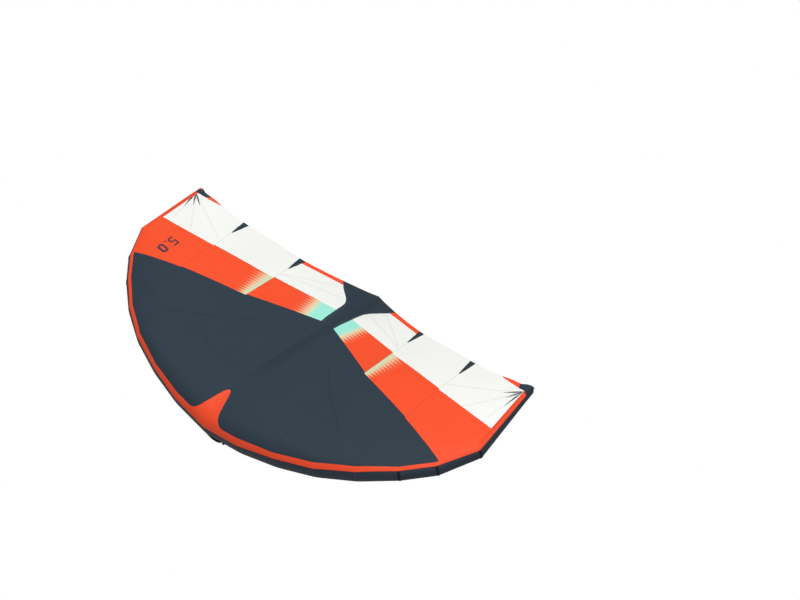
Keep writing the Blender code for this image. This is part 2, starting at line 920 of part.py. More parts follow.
def make_tip_caps():
    """Cloth caps drawn over the ends of the tube, ending just past its last station."""
    along = frames[last][2]
    steps = 4
    rings = [tube_ring(cap_station + seam_gap / 2 / tip_length, 0), tube_ring(last, 0)]
    for k in range(steps + 1):
        turn = math.pi / 2 * k / steps
        out = tip_cap_beyond - tip_cap_round * (1 - math.sin(turn))
        shrink = 1 - tip_cap_round * (1 - math.cos(turn)) / radii[last]
        rings.append([centres[last] + along * out + (p - centres[last]) * shrink for p in tube_ring(last, 0)])
    for (name, side), colour in zip(sides_named, ("orange_cloth", "dark_tube_cloth")):
        loft(f"tip_cap_{name}", mirrored(rings, side), colour, cloth, close=(1,))


def make_bladders():
    """Air bags inside the tube and the strut, each open only where the hose and the valve enter."""
    extra = -cloth - film_gap
    ends = list(range(1, last)) + [last - bladder_back]
    stations = [-u for u in reversed(ends)] + [0] + ends
    rings = []
    for u in stations:
        ring = tube_ring(abs(u), extra, tube_sides // 2)
        rings.append(ring if u >= 0 else [p * np.array((-1, 1, 1)) for p in ring])
    for side, where in ((-1, 0), (1, len(rings))):
        back = frames[last][2] * bladder_end
        narrow = [
            centres[last] - back + (p - centres[last]) / 2
            for p in tube_ring(last, extra, tube_sides // 2)
        ]
        rings.insert(where if side < 0 else len(rings), [p * np.array((side, 1, 1)) for p in narrow])
    bag = loft("bladder_tube", rings, "clear_film", film, close=(0, 1))
    boolean(bag, hose_cutter, "DIFFERENCE")
    boolean(bag, valve_cutter, "DIFFERENCE")

    sides = tube_sides // 2
    wide = (hose_radius + seam_gap + film) / math.cos(math.pi / sides)
    turns = [2 * math.pi * k / sides for k in range(sides)]
    hole = [
        np.array((wide * math.cos(a), strut_bladder_start, hose_height + wide * math.sin(a)))
        for a in turns
    ]
    full = strut_bladder_start + bladder_shoulder
    backs = [full] + [r[0] for r in strut_rings if full + small < r[0] < tail_cap_start - small]
    rings = [hole] + [strut_ring(y, extra, sides) for y in backs]
    end = tail_cap_start
    rings.append(strut_ring(end, extra - cap_wall, sides))
    last_ring = strut_ring(end, -strut_at(end)[1] / 2, sides)
    rings.append([np.array((p[0] / 2, end + bladder_end, p[2])) for p in last_ring])
    loft("bladder_strut", rings, "clear_film", film, close=(1,))


def make_hose():
    made = mesh_object("transfer_hose", [], [], "black_rubber")

    def build(shape):
        bmesh.ops.create_cone(
            shape,
            segments=16,
            radius1=hose_radius,
            radius2=hose_radius,
            depth=hose_end - hose_start,
        )

    edit(made, build)
    shell(made, hose_radius - hose_bore, -1)
    aim(made, (0, (hose_start + hose_end) / 2, hose_height), (0, 1, 0))


def cylinder_cutter(name, radius, depth, location, along):
    made = mesh_object(name, [], [], "black_rubber", helpers)

    def build(shape):
        bmesh.ops.create_cone(
            shape, cap_ends=True, segments=24, radius1=radius, radius2=radius, depth=depth
        )

    edit(made, build)
    aim(made, location, along)
    return helper(made)


def valve_place():
    """Middle of a flat facet on the back of the tube, and the way out of it."""
    step = 360 / tube_sides
    a = on_tube(valve_station, step * (valve_facet - 0.5))
    b = on_tube(valve_station, step * (valve_facet + 0.5))
    ahead = on_tube(valve_station + 0.1, step * (valve_facet - 0.5)) - a
    out = unit(np.cross(b - a, ahead))
    middle = (a + b) / 2
    if out @ (middle - between(centres, valve_station)) < 0:
        out = -out
    return middle, out, unit(ahead)


def make_valve():
    middle, out, along = valve_place()
    profile = (
        (valve_bore, collar_height + flange_thickness),
        (collar_radius, collar_height + flange_thickness),
        (collar_radius, flange_thickness),
        (flange_radius - flange_thickness / 2, flange_thickness),
        (flange_radius, flange_thickness / 2),
        (flange_radius, 0),
        (sleeve_radius, 0),
        (sleeve_radius, -sleeve_depth),
        (valve_bore, -sleeve_depth),
    )
    body = turned("valve_body", profile, "black_plastic")
    aim(body, middle + out * seam_gap, out, along)

    base = cap_lift
    roof = base + cap_height
    profile = (
        (0, roof),
        (cap_radius - cap_roof / 2, roof),
        (cap_radius, roof - cap_roof / 2),
        (cap_radius, base),
        (cap_rim, base),
        (cap_rim, roof - cap_roof),
        (0, roof - cap_roof),
    )
    cap = turned("valve_cap", profile, "black_rubber")
    top = middle + out * (seam_gap + flange_thickness)
    side = unit(np.cross(out, along))
    aim(cap, top, out, along)
    reach_out = cap_hinge_out - cap_rim - cap_roof / 2
    strap = mesh_object("cap_strap", [], [], "black_rubber")

    def build(shape):
        bmesh.ops.create_cube(shape, size=1)
        bmesh.ops.scale(shape, vec=(reach_out, strap_width, strap_thickness), verts=shape.verts)

    edit(strap, build)
    inward = cap_hinge_out - reach_out / 2
    centre = top - side * inward + out * (cap_lift + strap_thickness / 2)
    place_like(strap, centre, side, np.cross(out, side), out)
    boolean(cap, helper(strap), "UNION")
    hang(cap, "valve_cap_hinge", top - side * cap_hinge_out + out * (cap_lift + strap_thickness / 2))


def hang(made, name, point):
    """Parents a piece to an empty on its hinge line, where it stands."""
    place = made.matrix_basis.copy()
    pivot = bpy.data.objects.new(name, None)
    collection.objects.link(pivot)
    pivot.parent = frame
    pivot.location = Vector(point)
    made.parent = pivot
    made.matrix_basis = Matrix.Translation(-Vector(point)) @ place


def place_like(made, location, x, y, z):
    columns = Matrix((Vector(x), Vector(y), Vector(z))).transposed()
    made.matrix_basis = Matrix.Translation(Vector(location)) @ columns.to_4x4()


def grip(name, a, b, out, depth):
    """A padded loop whose ends lie on the line a to b, bowed along out. Its origin is on that line."""
    a, b, out = Vector(a), Vector(b), Vector(out).normalized()
    x = (b - a).normalized()
    z = -(out - x * out.dot(x)).normalized()
    y = z.cross(x)
    half = (b - a).length / 2 - grip_lead
    radius = (half * half + depth * depth) / (2 * depth)
    swing = math.asin(half / radius)
    count = 14
    curve = bpy.data.curves.new(name, "CURVE")
    curve.dimensions = "3D"
    curve.bevel_depth = grip_thickness / 2
    curve.bevel_resolution = 4
    curve.use_fill_caps = True
    spline = curve.splines.new("POLY")
    spline.points.add(count + 2)
    for k, end in ((0, -1), (count + 2, 1)):
        spline.points[k].co = (end * (half + grip_lead), 0, 0, 1)
        spline.points[k].radius = grip_end_share
    for k in range(count + 1):
        turn = swing * (2 * k / count - 1)
        drop = radius * math.cos(turn) - (radius - depth)
        flare = min(drop / grip_flare, 1)
        spline.points[k + 1].co = (radius * math.sin(turn), 0, -drop, 1)
        eased = flare * flare * (3 - 2 * flare)
        spline.points[k + 1].radius = grip_end_share + (1 - grip_end_share) * eased
    made = bpy.data.objects.new(name, curve)
    curve.materials.append(material("black_webbing"))
    collection.objects.link(made)
    made.parent = frame
    columns = Matrix((x, y * (grip_width / grip_thickness), z)).transposed()
    made.matrix_basis = Matrix.Translation((a + b) / 2) @ columns.to_4x4()
    return made


def stub_rise(drop):
    """Height of the sewn end, and of its middle over the skin, for a hinge line at this drop."""
    top = drop + grip_thickness / 2 * grip_end_share
    height = top - pad_clearance - pad_thickness * stub_bed_share
    return height, top - height / 2


def stub(name, location, x, y, z, height):
    """The sewn end of the webbing that holds one end of a grip."""
    made = mesh_object(name, [], [], "black_webbing")

    def build(shape):
        bmesh.ops.create_cube(shape, size=1)
        bmesh.ops.scale(shape, vec=(stub_length, stub_width, height), verts=shape.verts)

    edit(made, build)
    place_like(made, location, x, y, z)
    return helper(made)


def under_strut(y, depth):
    height, radius = strut_at(y)
    return np.array((0, y, height - radius - depth))


def make_strut_handle(name, shares, depth):
    ends = [share * root_chord for share in shares]
    a, b = (under_strut(y, webbing_drop) for y in ends)
    grip(f"{name}_handle", a, b, (0, 0, -1), depth)
    step = 360 / tube_sides
    start_y, end_y = ends[0] - web_reach, ends[1] + web_reach
    backs = [start_y] + [r[0] for r in strut_rings if start_y + small < r[0] < end_y - small] + [end_y]
    grid = [[on_strut(y, 270 + step * k, pad_clearance) for y in backs] for k in (-1, 0, 1)]
    web = sheet(f"{name}_handle_web", grid, "black_webbing", pad_thickness, inset=False, out=(0, 0, -1))
    for k, (point, along) in enumerate(((a, -1), (b, 1))):
        line = unit(b - a)
        centre = point + line * along * (stub_length / 2 + seam_gap)
        lift = np.cross((1.0, 0, 0), line)
        height, middle = stub_rise(webbing_drop)
        centre = centre + lift * (webbing_drop - middle)
        boolean(web, stub(f"{name}_stub_{k}", centre, line, (1.0, 0, 0), -lift, height), "UNION")


def nose_out():
    return np.array((0, -math.cos(nose_grip_tilt), math.sin(nose_grip_tilt)))


def make_nose_handle():
    """The loop and its pad under the nose of the air tube."""
    u = nose_grip_half / centres[1][0]
    out = nose_out()
    b = on_tube(u, math.degrees(nose_grip_tilt)) + out * nose_drop
    a = b * np.array((-1, 1, 1))
    grip("nose_handle", a, b, (0, 0, -1), nose_grip_depth)
    step = 360 / tube_sides
    stations = (-pad_half_station, -u, 0, u, pad_half_station)
    grid = []
    for k, share in zip(pad_facets, pad_width_shares):
        line = []
        for v in stations:
            side = -1 if v < 0 else 1
            line.append(on_tube(abs(v) * share, step * k, pad_clearance) * np.array((side, 1, 1)))
        grid.append(line)
    pad = sheet("nose_pad", grid, "grey_pad", pad_thickness, inset=False, out=out)
    for k, (point, along) in enumerate(((a, -1), (b, 1))):
        centre = point + np.array((along * (stub_length / 2 + seam_gap), 0, 0))
        height, middle = stub_rise(nose_drop)
        centre = centre - out * (nose_drop - middle)
        square = np.cross(-out, (1.0, 0, 0))
        boolean(pad, stub(f"nose_stub_{k}", centre, (1.0, 0, 0), square, -out, height), "UNION")


hose_cutter = cylinder_cutter(
    "hose_cutter",
    hose_radius + seam_gap,
    2 * overrun,
    (0, nose_radius - overrun / 4, hose_height),
    (0, 1, 0),
)
valve_middle, valve_out, _ = valve_place()
valve_cutter = cylinder_cutter(
    "valve_cutter", sleeve_radius + seam_gap, 2 * overrun, valve_middle, valve_out
)

mouth_cutter = make_mouth_cutter()

make_tube()
make_band()
make_centre_patch()
make_front_panels()
make_orange_panels()
make_white_panels()
make_darts()
make_hems()
make_tip_patches()
make_tail_panel()
make_strut()
make_tail_cap()
make_tip_caps()
make_bladders()
make_hose()
make_valve()
make_strut_handle("front", front_grip_shares, front_depth)
make_strut_handle("rear", rear_grip_shares, rear_depth)
make_nose_handle()
for name in ("le_segment_left_1", "le_segment_right_1"):
    boolean(bpy.data.objects[name], hose_cutter, "DIFFERENCE")
boolean(bpy.data.objects["le_segment_right_1"], valve_cutter, "DIFFERENCE")
print("hold point", [round(float(v), 5) for v in hold_point])
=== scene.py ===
"""Looks of an inflatable hand-held wing: cloth, air tube, strut, hand loops, studio.

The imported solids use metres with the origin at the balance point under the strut. Shapes here are
worked out from the nose of the tube's axis and moved there once, by NOSE.
"""

import math
from functools import lru_cache

import bmesh
import bpy
import numpy as np
from mathutils import Matrix, Vector


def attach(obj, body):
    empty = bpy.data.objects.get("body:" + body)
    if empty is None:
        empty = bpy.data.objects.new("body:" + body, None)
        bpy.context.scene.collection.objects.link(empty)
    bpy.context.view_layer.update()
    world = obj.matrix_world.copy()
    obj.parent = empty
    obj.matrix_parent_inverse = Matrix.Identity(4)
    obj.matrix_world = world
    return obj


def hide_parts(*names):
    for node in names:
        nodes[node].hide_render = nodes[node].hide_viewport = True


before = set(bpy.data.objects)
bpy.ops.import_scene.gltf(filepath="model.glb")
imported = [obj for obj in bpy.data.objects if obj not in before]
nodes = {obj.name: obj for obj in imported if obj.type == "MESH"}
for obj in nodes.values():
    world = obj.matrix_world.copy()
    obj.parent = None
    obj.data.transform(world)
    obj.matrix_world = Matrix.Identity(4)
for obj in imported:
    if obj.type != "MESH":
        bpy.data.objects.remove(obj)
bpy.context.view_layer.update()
NOSE = np.array((0, -0.620, 0.12308))

# Sizes of the wing, as in the solids. A table has one value per station of the tube, nose to tip
LAST = 8
REACH = 1.649
SWEEP = 1.340
RISE = 0.395
NOSE_RADIUS = 0.1435
ROOT_CHORD = 1.711
SPAN_SHARES = (0, 0.185, 0.36, 0.525, 0.675, 0.813, 0.916, 1.0, 0.985)
SWEEP_SHARES = (0, 0.010, 0.044, 0.094, 0.171, 0.275, 0.392, 0.569, 1.0)
RISE_SHARES = (0, 0.124, 0.235, 0.355, 0.466, 0.563, 0.66, 0.798, 1.0)
RADIUS_SHARES = (1.0, 0.985, 0.905, 0.77, 0.615, 0.45, 0.40, 0.355, 0.24)

# Round the tube, in quarter turns up from its nose: edges of the band, and where the canopy leaves it
LOW_SHARES = (0.09, 0.11, 0.19, 0.24, 0.38, 0.56, 0.65, 0.62, 0.60)
HIGH_SHARES = (0.365, 0.36, 0.38, 0.47, 0.62, 0.80, 0.905, 0.905, 0.905)
LEAVE_SHARES = (0.72, 0.72, 0.74, 0.78, 0.84, 0.95, 0.95, 0.95, 0.95)

# The canopy and the strut
TRAILING_SPAN_SHARES = (0, 0.185, 0.3775, 0.542, 0.706, 0.831, 0.9175)
TRAILING_SWEEP_SHARES = (0, 0.345, 0.609, 0.739, 0.879, 0.938, 0.954)
TRAILING_RISE_SHARES = (0, 0.211, 0.410, 0.581, 0.749, 0.877, 0.976)
TRAILING_NOSE_RISE = -0.027
TRAILING_END_SHARE = 0.65
CAMBER_SHARES = (1.0, 0.74, 0.505, 0.45, 0.38, 0.285, 0.18, 0.105, 0.042)
STRUT_LENGTH_SHARES = (0.064, 0.175, 0.275, 0.38, 0.485, 0.614, 0.695, 0.789, 0.8825, 0.958)
STRUT_RADIUS_SHARES = (0.99, 1.0, 0.98, 0.93, 0.86, 0.86, 0.78, 0.61, 0.38, 0.31)
STRUT_HEIGHT_SHARES = (-0.70, -0.735, -0.655, -0.43, -0.13, 0.065, 0, -0.35, -0.80, -1.0)
STRUT_RADIUS = 0.100
STRUT_SAG = 0.0625
STRUT_START = 0.015
STRUT_SEAMS = (0.4705, 0.8298)
TAIL_END = 1.720
TAIL_RADIUS = 0.033
TAIL_HEIGHT = -0.06
TAIL_CAP_LENGTH = 0.070
TAIL_CAP_SLEEVE = 0.081
TAIL_CAP_ROUND = 0.010
CAMBER = 0.095
CREST = 0.22
FALL = 1.8
SEAT_START = 0.93
SEAT_LENGTH = 0.17
SEAT_HALF = 0.12

# Cloth: its gap to what it lies on, its wall, and the angle from which a fold stays crisp
SKIN = 0.0010
WALL = 0.0008
FOLD = math.radians(38)

# The centre patch, the tip caps and the dark flaps over them
PATCH_HALF = 0.62
PATCH_REACH = 0.112
PATCH_BELL = 0.257
CAP_LENGTH = 0.080
CAP_BEYOND = 0.022
CAP_ROUND = 0.018
FLAP_INNER = 1.566
FLAP_OUTER = 1.645
FLAP_FRONT = 1.286
FLAP_BACK = 1.338
FLAP_REACH = 0.023
FLAP_CORNER = 0.028
FLAP_LEVEL = 1.335
FLAP_SLOPE = 0.138
FLAP_LIFT = 0.0030
FLAP_DROOP = 6.0

# The hand loops and their webbing
LOOP_LEAD = 0.007
LOOP_END_HALF = 0.0175
LOOP_MIDDLE_HALF = 0.023
LOOP_TIP_HALF = 0.0078
WEB_DROP = 0.012
WEB_REACH = 0.047
NOSE_LOOP_HALF = 0.100
NOSE_LOOP_DROP = 0.013
NOSE_LOOP_TILT = math.radians(-58)

# Grid of the canopy cloth
STATIONS_A_SIDE = 120
ROWS = 64


def unit(v):
    return v / np.linalg.norm(v)


def colour(r, g, b):
    def straight(c):
        c /= 255
        return c / 12.92 if c <= 0.04045 else ((c + 0.055) / 1.055) ** 2.4

    return (straight(r), straight(g), straight(b), 1)


DARK_TUBE = colour(46, 58, 70)
DARK_CANOPY = colour(48, 61, 71)
ORANGE = colour(247, 80, 38)
BAND_ORANGE = colour(248, 80, 42)
WHITE = colour(243, 244, 240)
MINT = colour(160, 236, 218)
CREAM = colour(232, 222, 178)
PALE_MINT = colour(206, 222, 186)
BLACK = colour(20, 21, 23)
TAPE = colour(20, 27, 34)
PAD_GREY = colour(84, 83, 82)


# The air tube: sewn stations, mitre frames, and points over it
centres = [
    np.array((a * REACH, b * SWEEP, c * RISE))
    for a, b, c in zip(SPAN_SHARES, SWEEP_SHARES, RISE_SHARES)
]
radii = [share * NOSE_RADIUS for share in RADIUS_SHARES]


def mitre_frame(i):
    """Across, up and along at a station, halfway between the lengths of tube that meet there."""
    if i == 0:
        along = np.array((1.0, 0, 0))
    elif i == LAST:
        along = unit(centres[LAST] - centres[LAST - 1])
    else:
        along = unit(unit(centres[i] - centres[i - 1]) + unit(centres[i + 1] - centres[i]))
    up = np.array((0, 0, 1.0))
    b = unit(up - along * (up @ along))
    return np.cross(along, b), b, along


frames = [mitre_frame(i) for i in range(LAST + 1)]
lengths = [np.linalg.norm(centres[i + 1] - centres[i]) for i in range(LAST)]


def between(table, u):
    """A table's value at station u, straight from one station to the next."""
    i = min(int(u), LAST - 1)
    f = u - i
    return (1 - f) * np.asarray(table[i], float) + f * np.asarray(table[i + 1], float)


def ring_point(i, turn, radius):
    a, b, _ = frames[i]
    return centres[i] + radius * (math.cos(turn) * a + math.sin(turn) * b)


def on_tube(u, turn, extra=0.0):
    """Point on the tube at station u, turned about its axis and raised by extra."""
    i = min(int(u), LAST - 1)
    f = u - i
    near = ring_point(i, turn, radii[i] + extra)
    return (1 - f) * near + f * ring_point(i + 1, turn, radii[i + 1] + extra)


def quarter(shares, u):
    return math.pi / 2 * between(shares, u)


# The strut, smooth through its rings
strut_backs = np.array([s * ROOT_CHORD for s in STRUT_LENGTH_SHARES] + [TAIL_END])
strut_heights = np.array([s * STRUT_SAG for s in STRUT_HEIGHT_SHARES] + [TAIL_HEIGHT])
strut_radii = np.array([s * STRUT_RADIUS for s in STRUT_RADIUS_SHARES] + [TAIL_RADIUS])


def strut_at(y):
    """Height and radius of the strut, rounded off near its rings."""
    reach_over = 0.045
    samples = np.linspace(y - reach_over, y + reach_over, 7)
    weights = np.array((1, 2, 3, 4, 3, 2, 1)) / 16
    return (
        float(np.interp(samples, strut_backs, strut_heights) @ weights),
        float(np.interp(samples, strut_backs, strut_radii) @ weights),
    )


# The canopy: from the band over the tube to the trailing edge
def trailing_stations():
    """Points of the trailing edge, one per station."""
    tip = centres[LAST]
    low = TRAILING_NOSE_RISE
    found = [
        np.array((a * tip[0], ROOT_CHORD + (tip[1] - ROOT_CHORD) * b, low + (tip[2] - low) * c))
        for a, b, c in zip(TRAILING_SPAN_SHARES, TRAILING_SWEEP_SHARES, TRAILING_RISE_SHARES)
    ]
    a, b, _ = frames[LAST]
    end = on_tube(LAST, quarter(LEAVE_SHARES, LAST), SKIN) - a * 0.026 - b * 0.003
    found.append(found[-1] + (end - found[-1]) * TRAILING_END_SHARE)
    found.append(end)
    return found


trailing = trailing_stations()


def smooth(table, u):
    """Through the stations on one smooth curve."""
    i = min(int(u), LAST - 1)
    f = u - i
    p0, p1, p2, p3 = (
        np.asarray(table[min(max(k, 0), LAST)], float) for k in (i - 1, i, i + 1, i + 2)
    )
    if i == 0:
        p0 = 2 * p1 - p2
    return (
        p1
        + 0.5 * f * (p2 - p0)
        + f * f * (p0 - 2.5 * p1 + 2 * p2 - 0.5 * p3)
        + f * f * f * (1.5 * (p1 - p2) + 0.5 * (p3 - p0))
    )


def crown(s):
    """Share of the camber at s along the chord, 1 at the crest."""
    if s < CREST:
        return 1 - (1 - s / CREST) ** 2
    return 1 - ((s - CREST) / (1 - CREST)) ** FALL


@lru_cache(maxsize=None)
def leave_point(u):
    return on_tube(u, quarter(LEAVE_SHARES, u), SKIN)


@lru_cache(maxsize=None)
def chord(u):
    return np.linalg.norm((between(trailing, u) - leave_point(u))[:2])


@lru_cache(maxsize=None)
def front(u):
    """The canopy's front edge on the tube, as a share of the chord. It is negative."""
    wrap = quarter(LEAVE_SHARES, u) - quarter(HIGH_SHARES, u)
    return -between(radii, u) * wrap / chord(u)


def clear_of_tube(point, clearance):
    """The point, moved out where it lies nearer to the tube than the clearance."""
    best = None
    for i in range(LAST):
        axis = centres[i + 1] - centres[i]
        f = min(max((point - centres[i]) @ axis / (axis @ axis), 0), 1)
        middle = centres[i] + f * axis
        away = np.linalg.norm(point - middle) - (radii[i] + f * (radii[i + 1] - radii[i]))
        if best is None or away < best[0]:
            best = (away, middle)
    if best[0] >= clearance:
        return point
    return point + unit(point - best[1]) * (clearance - best[0])


@lru_cache(maxsize=None)
def rear_edge(u):
    """Smooth near the strut, straighter to the stations near the tip."""
    ease = min(max((u - 5.5) / 1.0, 0), 1)
    return smooth(trailing, u) * (1 - ease) + between(trailing, u) * ease


def free_canopy(u, s):
    near = leave_point(u)
    point = near + (rear_edge(u) - near) * s
    point[2] += CAMBER * smooth(CAMBER_SHARES, u) * crown(s)
    return point


def canopy(u, s):
    """Point of the canopy: u from tip to tip, s from the leaving line at 0 to the trailing edge at 1."""
    side = -1 if u < 0 else 1
    u = abs(u)
    if s < 0:
        turn = quarter(LEAVE_SHARES, u)
        turn += (quarter(HIGH_SHARES, u) - turn) * s / front(u)
        point = on_tube(u, turn, SKIN)
    else:
        point = free_canopy(u, s)
        if 0 < s < 0.25:
            point = clear_of_tube(point, min(0.0018, SKIN + 0.05 * s * chord(u)))
        ease = min(max((point[1] - SEAT_START) / SEAT_LENGTH, 0), 1)
        ease = ease * ease * (3 - 2 * ease)
        if ease > 0:
            near = leave_point(0)
            middle = free_canopy(0, (point[1] - near[1]) / (trailing[0][1] - near[1]))
            height, radius = strut_at(min(point[1], ROOT_CHORD - 0.02))
            seat = height + radius + SKIN - middle[2]
            point[2] += seat * ease * math.exp(-((point[0] / SEAT_HALF) ** 2))
    return point * np.array((side, 1, 1))


def made_of(name, bm, *materials):
    """A finished mesh at the origin, moved to the frame of the solids. Rims and folds stay crisp."""
    bmesh.ops.translate(bm, verts=bm.verts, vec=Vector(NOSE))
    for edge in bm.edges:
        edge.smooth = not (edge.is_boundary or edge.calc_face_angle(0) > FOLD)
    for face in bm.faces:
        face.smooth = True
    data = bpy.data.meshes.new(name)
    bm.to_mesh(data)
    bm.free()
    made = bpy.data.objects.new(name, data)
    bpy.context.scene.collection.objects.link(made)
    for material in materials:
        data.materials.append(material)
    return made


def surface(bm, columns, rows, place, wrap=False):
    """A grid laid on place(a, b), where a and b run from 0 to 1. It carries a UV of real lengths."""
    uv = bm.loops.layers.uv.verify()
    made = bmesh.ops.create_grid(bm, x_segments=columns, y_segments=rows, size=0.5)["verts"]
    spots = {v: place(round(v.co.x + 0.5, 6), round(v.co.y + 0.5, 6)) for v in made}
    for face in {f for v in made for f in v.link_faces}:
        for loop in face.loops:
            loop[uv].uv = spots[loop.vert][1]
    for v, (point, _) in spots.items():
        v.co = Vector(point)
    if wrap:
        bmesh.ops.remove_doubles(bm, verts=made, dist=0.00002)
    return [v for v in made if v.is_valid]


def face_out(bm, way):
    """Turns an open sheet's faces to look along way."""
    total = sum((f.normal * f.calc_area() for f in bm.faces), Vector())
    if total.dot(Vector(way)) < 0:
        bmesh.ops.reverse_faces(bm, faces=bm.faces)


def solid(made, thickness, offset=1.0):
    """Gives a skin its wall, and returns the modifier."""
    wall = made.modifiers.new("thickness", "SOLIDIFY")
    wall.thickness = thickness
    wall.offset = offset
    wall.use_even_offset = True
    return wall


# Colours of the canopy are sewn along plan lines, given from the nose for the right half
DARK_LINES = (
    ((0.064, 1.117), (0.601, 0.868)),
    ((0.601, 0.857), (1.128, 0.677)),
    ((1.128, 0.670), (1.560, 0.521)),
)
WHITE_LINES = (
    ((0.050, 1.312), (0.607, 1.166)),
    ((0.607, 1.155), (1.134, 1.026)),
    ((1.134, 1.017), (1.665, 0.913)),
)
TAIL_LINE = ((0.064, 1.117), (0.081, 1.290), (0.086, 1.345), (0.097, 1.415), (0.122, 1.458),
             (0.165, 1.494), (0.225, 1.541), (0.278, 1.600))
SEAM_LINES = (((0.594, -0.02), (0.613, 1.60)), ((1.113, 0.13), (1.148, 1.50)))
INNER_DART = ((0.610, 1.322), (0.587, 1.492), (0.640, 1.479))
OUTER_DART = ((1.145, 1.227), (1.120, 1.389), (1.171, 1.382))
INNER_HEM = ((0.240, 1.5575), (0.594, 1.449))
TIP_HEM = ((1.412, 1.351), (1.574, 1.301), (1.640, 1.286))
TIP_PATCH_EDGE = ((1.574, 1.301), (1.550, 1.352))
DART_SEAMS = (((0.610, 1.330), (0.611, 1.165)), ((1.145, 1.235), (1.131, 1.022)))
SPAN_SEAM = ((0, 0.305), (0.278, 0.273), (0.547, 0.338), (0.865, 0.315), (1.107, 0.345), (1.258, 0.347))
# The line of a slanting fold in the dark cloth, darkened in dark_marks as painted shade
SLANT_CREASE = ((0.865, 0.315), (0.602, 0.510), (0.353, 0.751))
TIP_CORNER = (1.617, 1.280)
TIP_RAYS = ((1.588, 1.120), (1.548, 1.183), (1.510, 1.222))
# Folds in the white cloth, darkened in white_marks as painted shade
TIP_FOLDS = ((1.560, 0.985), (1.368, 0.983), (1.150, 1.095))
INNER_FOLDS = (((0.590, 1.245), (0.250, 1.510)), ((0.590, 1.235), (0.160, 1.430)))

# Printed fades of the orange panels: slant and pitch of their teeth, and for each fade its start across
# the wing, the slope of that, how far back it is measured, its length, and the growth of that
TOOTH_SLANT = 0.30
TOOTH_PITCH = 0.028
INNER_FADE = (0.150, 0.21, 1.07, 0.155, 0.0)
OUTER_FADE = (0.612, 0.02, 0.86, 0.110, 0.30)
OUTER_FADE_FRONT = 0.60

# Straight edges on the plan, each as a slope and where it starts: the inner seam, the hem at the
# trailing edge, and the dark corner at the left tip
SEAM_EDGE = (0.0117, 0.5942)
HEM_EDGE = (0.27, 1.49)
CORNER_EDGE = (0.737, 2.506)

# The orange edge of the white cloth along the end of the tube, which lies further in at the left
EDGE_START = 1.6699
EDGE_LEFT_SHIFT = 0.015
EDGE_SLOPE = 0.0385
EDGE_FRONT = 0.80

# The plain size mark: its base line, and the middles of its two figures and their dot
MARK_BASE = 1.416
MARK_FIVE = 0.812
MARK_DOT = 0.766
MARK_NOUGHT = 0.705
MARK_TALL = 0.080
MARK_HALF = 0.020


# Shader parts
def new_material(name, base, roughness):
    """A material with its node tree and its Principled shader."""
    made = bpy.data.materials.new(name)
    made.use_nodes = True
    shader = made.node_tree.nodes["Principled BSDF"]
    shader.inputs["Base Color"].default_value = base
    shader.inputs["Roughness"].default_value = roughness
    return made, made.node_tree, shader


def add(tree, kind, **values):
    node = tree.nodes.new(kind)
    for key, value in values.items():
        setattr(node, key, value)
    return node


def maths(tree, operation, a, b=None, c=None, clamp=False):
    node = add(tree, "ShaderNodeMath", operation=operation, use_clamp=clamp)
    for socket, value in zip(node.inputs, (a, b, c)):
        if value is None:
            continue
        if isinstance(value, (int, float)):
            socket.default_value = value
        else:
            tree.links.new(value, socket)
    return node.outputs[0]


def mix_colour(tree, factor, a, b):
    node = add(tree, "ShaderNodeMix", data_type="RGBA")
    for socket, value in ((node.inputs[0], factor), (node.inputs[6], a), (node.inputs[7], b)):
        if isinstance(value, (int, float, tuple)):
            socket.default_value = value
        else:
            tree.links.new(value, socket)
    return node.outputs[2]


def new_group(name, inputs, outputs):
    """A node group: its tree, the sockets that come in and the sockets that go out, by name."""
    tree = bpy.data.node_groups.new(name, "ShaderNodeTree")
    for way, sockets in (("INPUT", inputs), ("OUTPUT", outputs)):
        for socket, kind in sockets.items():
            tree.interface.new_socket(socket, in_out=way, socket_type=f"NodeSocket{kind}")
    return tree, tree.nodes.new("NodeGroupInput").outputs, tree.nodes.new("NodeGroupOutput").inputs


def split_up(tree, vector):
    """The x and y of a vector."""
    node = add(tree, "ShaderNodeSeparateXYZ")
    tree.links.new(vector, node.inputs[0])
    return node.outputs[0], node.outputs[1]


def ripstop_group():
    """Woven cloth with a grid of thicker threads: height, and a mask of the thick threads."""
    tree, come, leave = new_group(
        "ripstop_weave", {"Place": "Vector", "Cell": "Float"}, {"Height": "Float", "Threads": "Float"}
    )
    thread_narrowness, threads_a_cell, fine_height = 9.0, 11, 0.25
    thick = []
    fine = []
    for place in split_up(tree, come["Place"]):
        scaled = maths(tree, "DIVIDE", place, come["Cell"])
        wave = maths(tree, "ABSOLUTE", maths(tree, "SUBTRACT", maths(tree, "FRACT", scaled), 0.5))
        thinned = maths(tree, "MULTIPLY", wave, thread_narrowness)
        thick.append(maths(tree, "SUBTRACT", 1.0, thinned, clamp=True))
        fine.append(maths(tree, "SINE", maths(tree, "MULTIPLY", scaled, 2 * math.pi * threads_a_cell)))
    threads = maths(tree, "MAXIMUM", *thick)
    weave = maths(tree, "MULTIPLY", *fine)
    height = maths(tree, "ADD", threads, maths(tree, "MULTIPLY", weave, fine_height))
    tree.links.new(height, leave["Height"])
    tree.links.new(threads, leave["Threads"])
    return tree


RIPSTOP = ripstop_group()


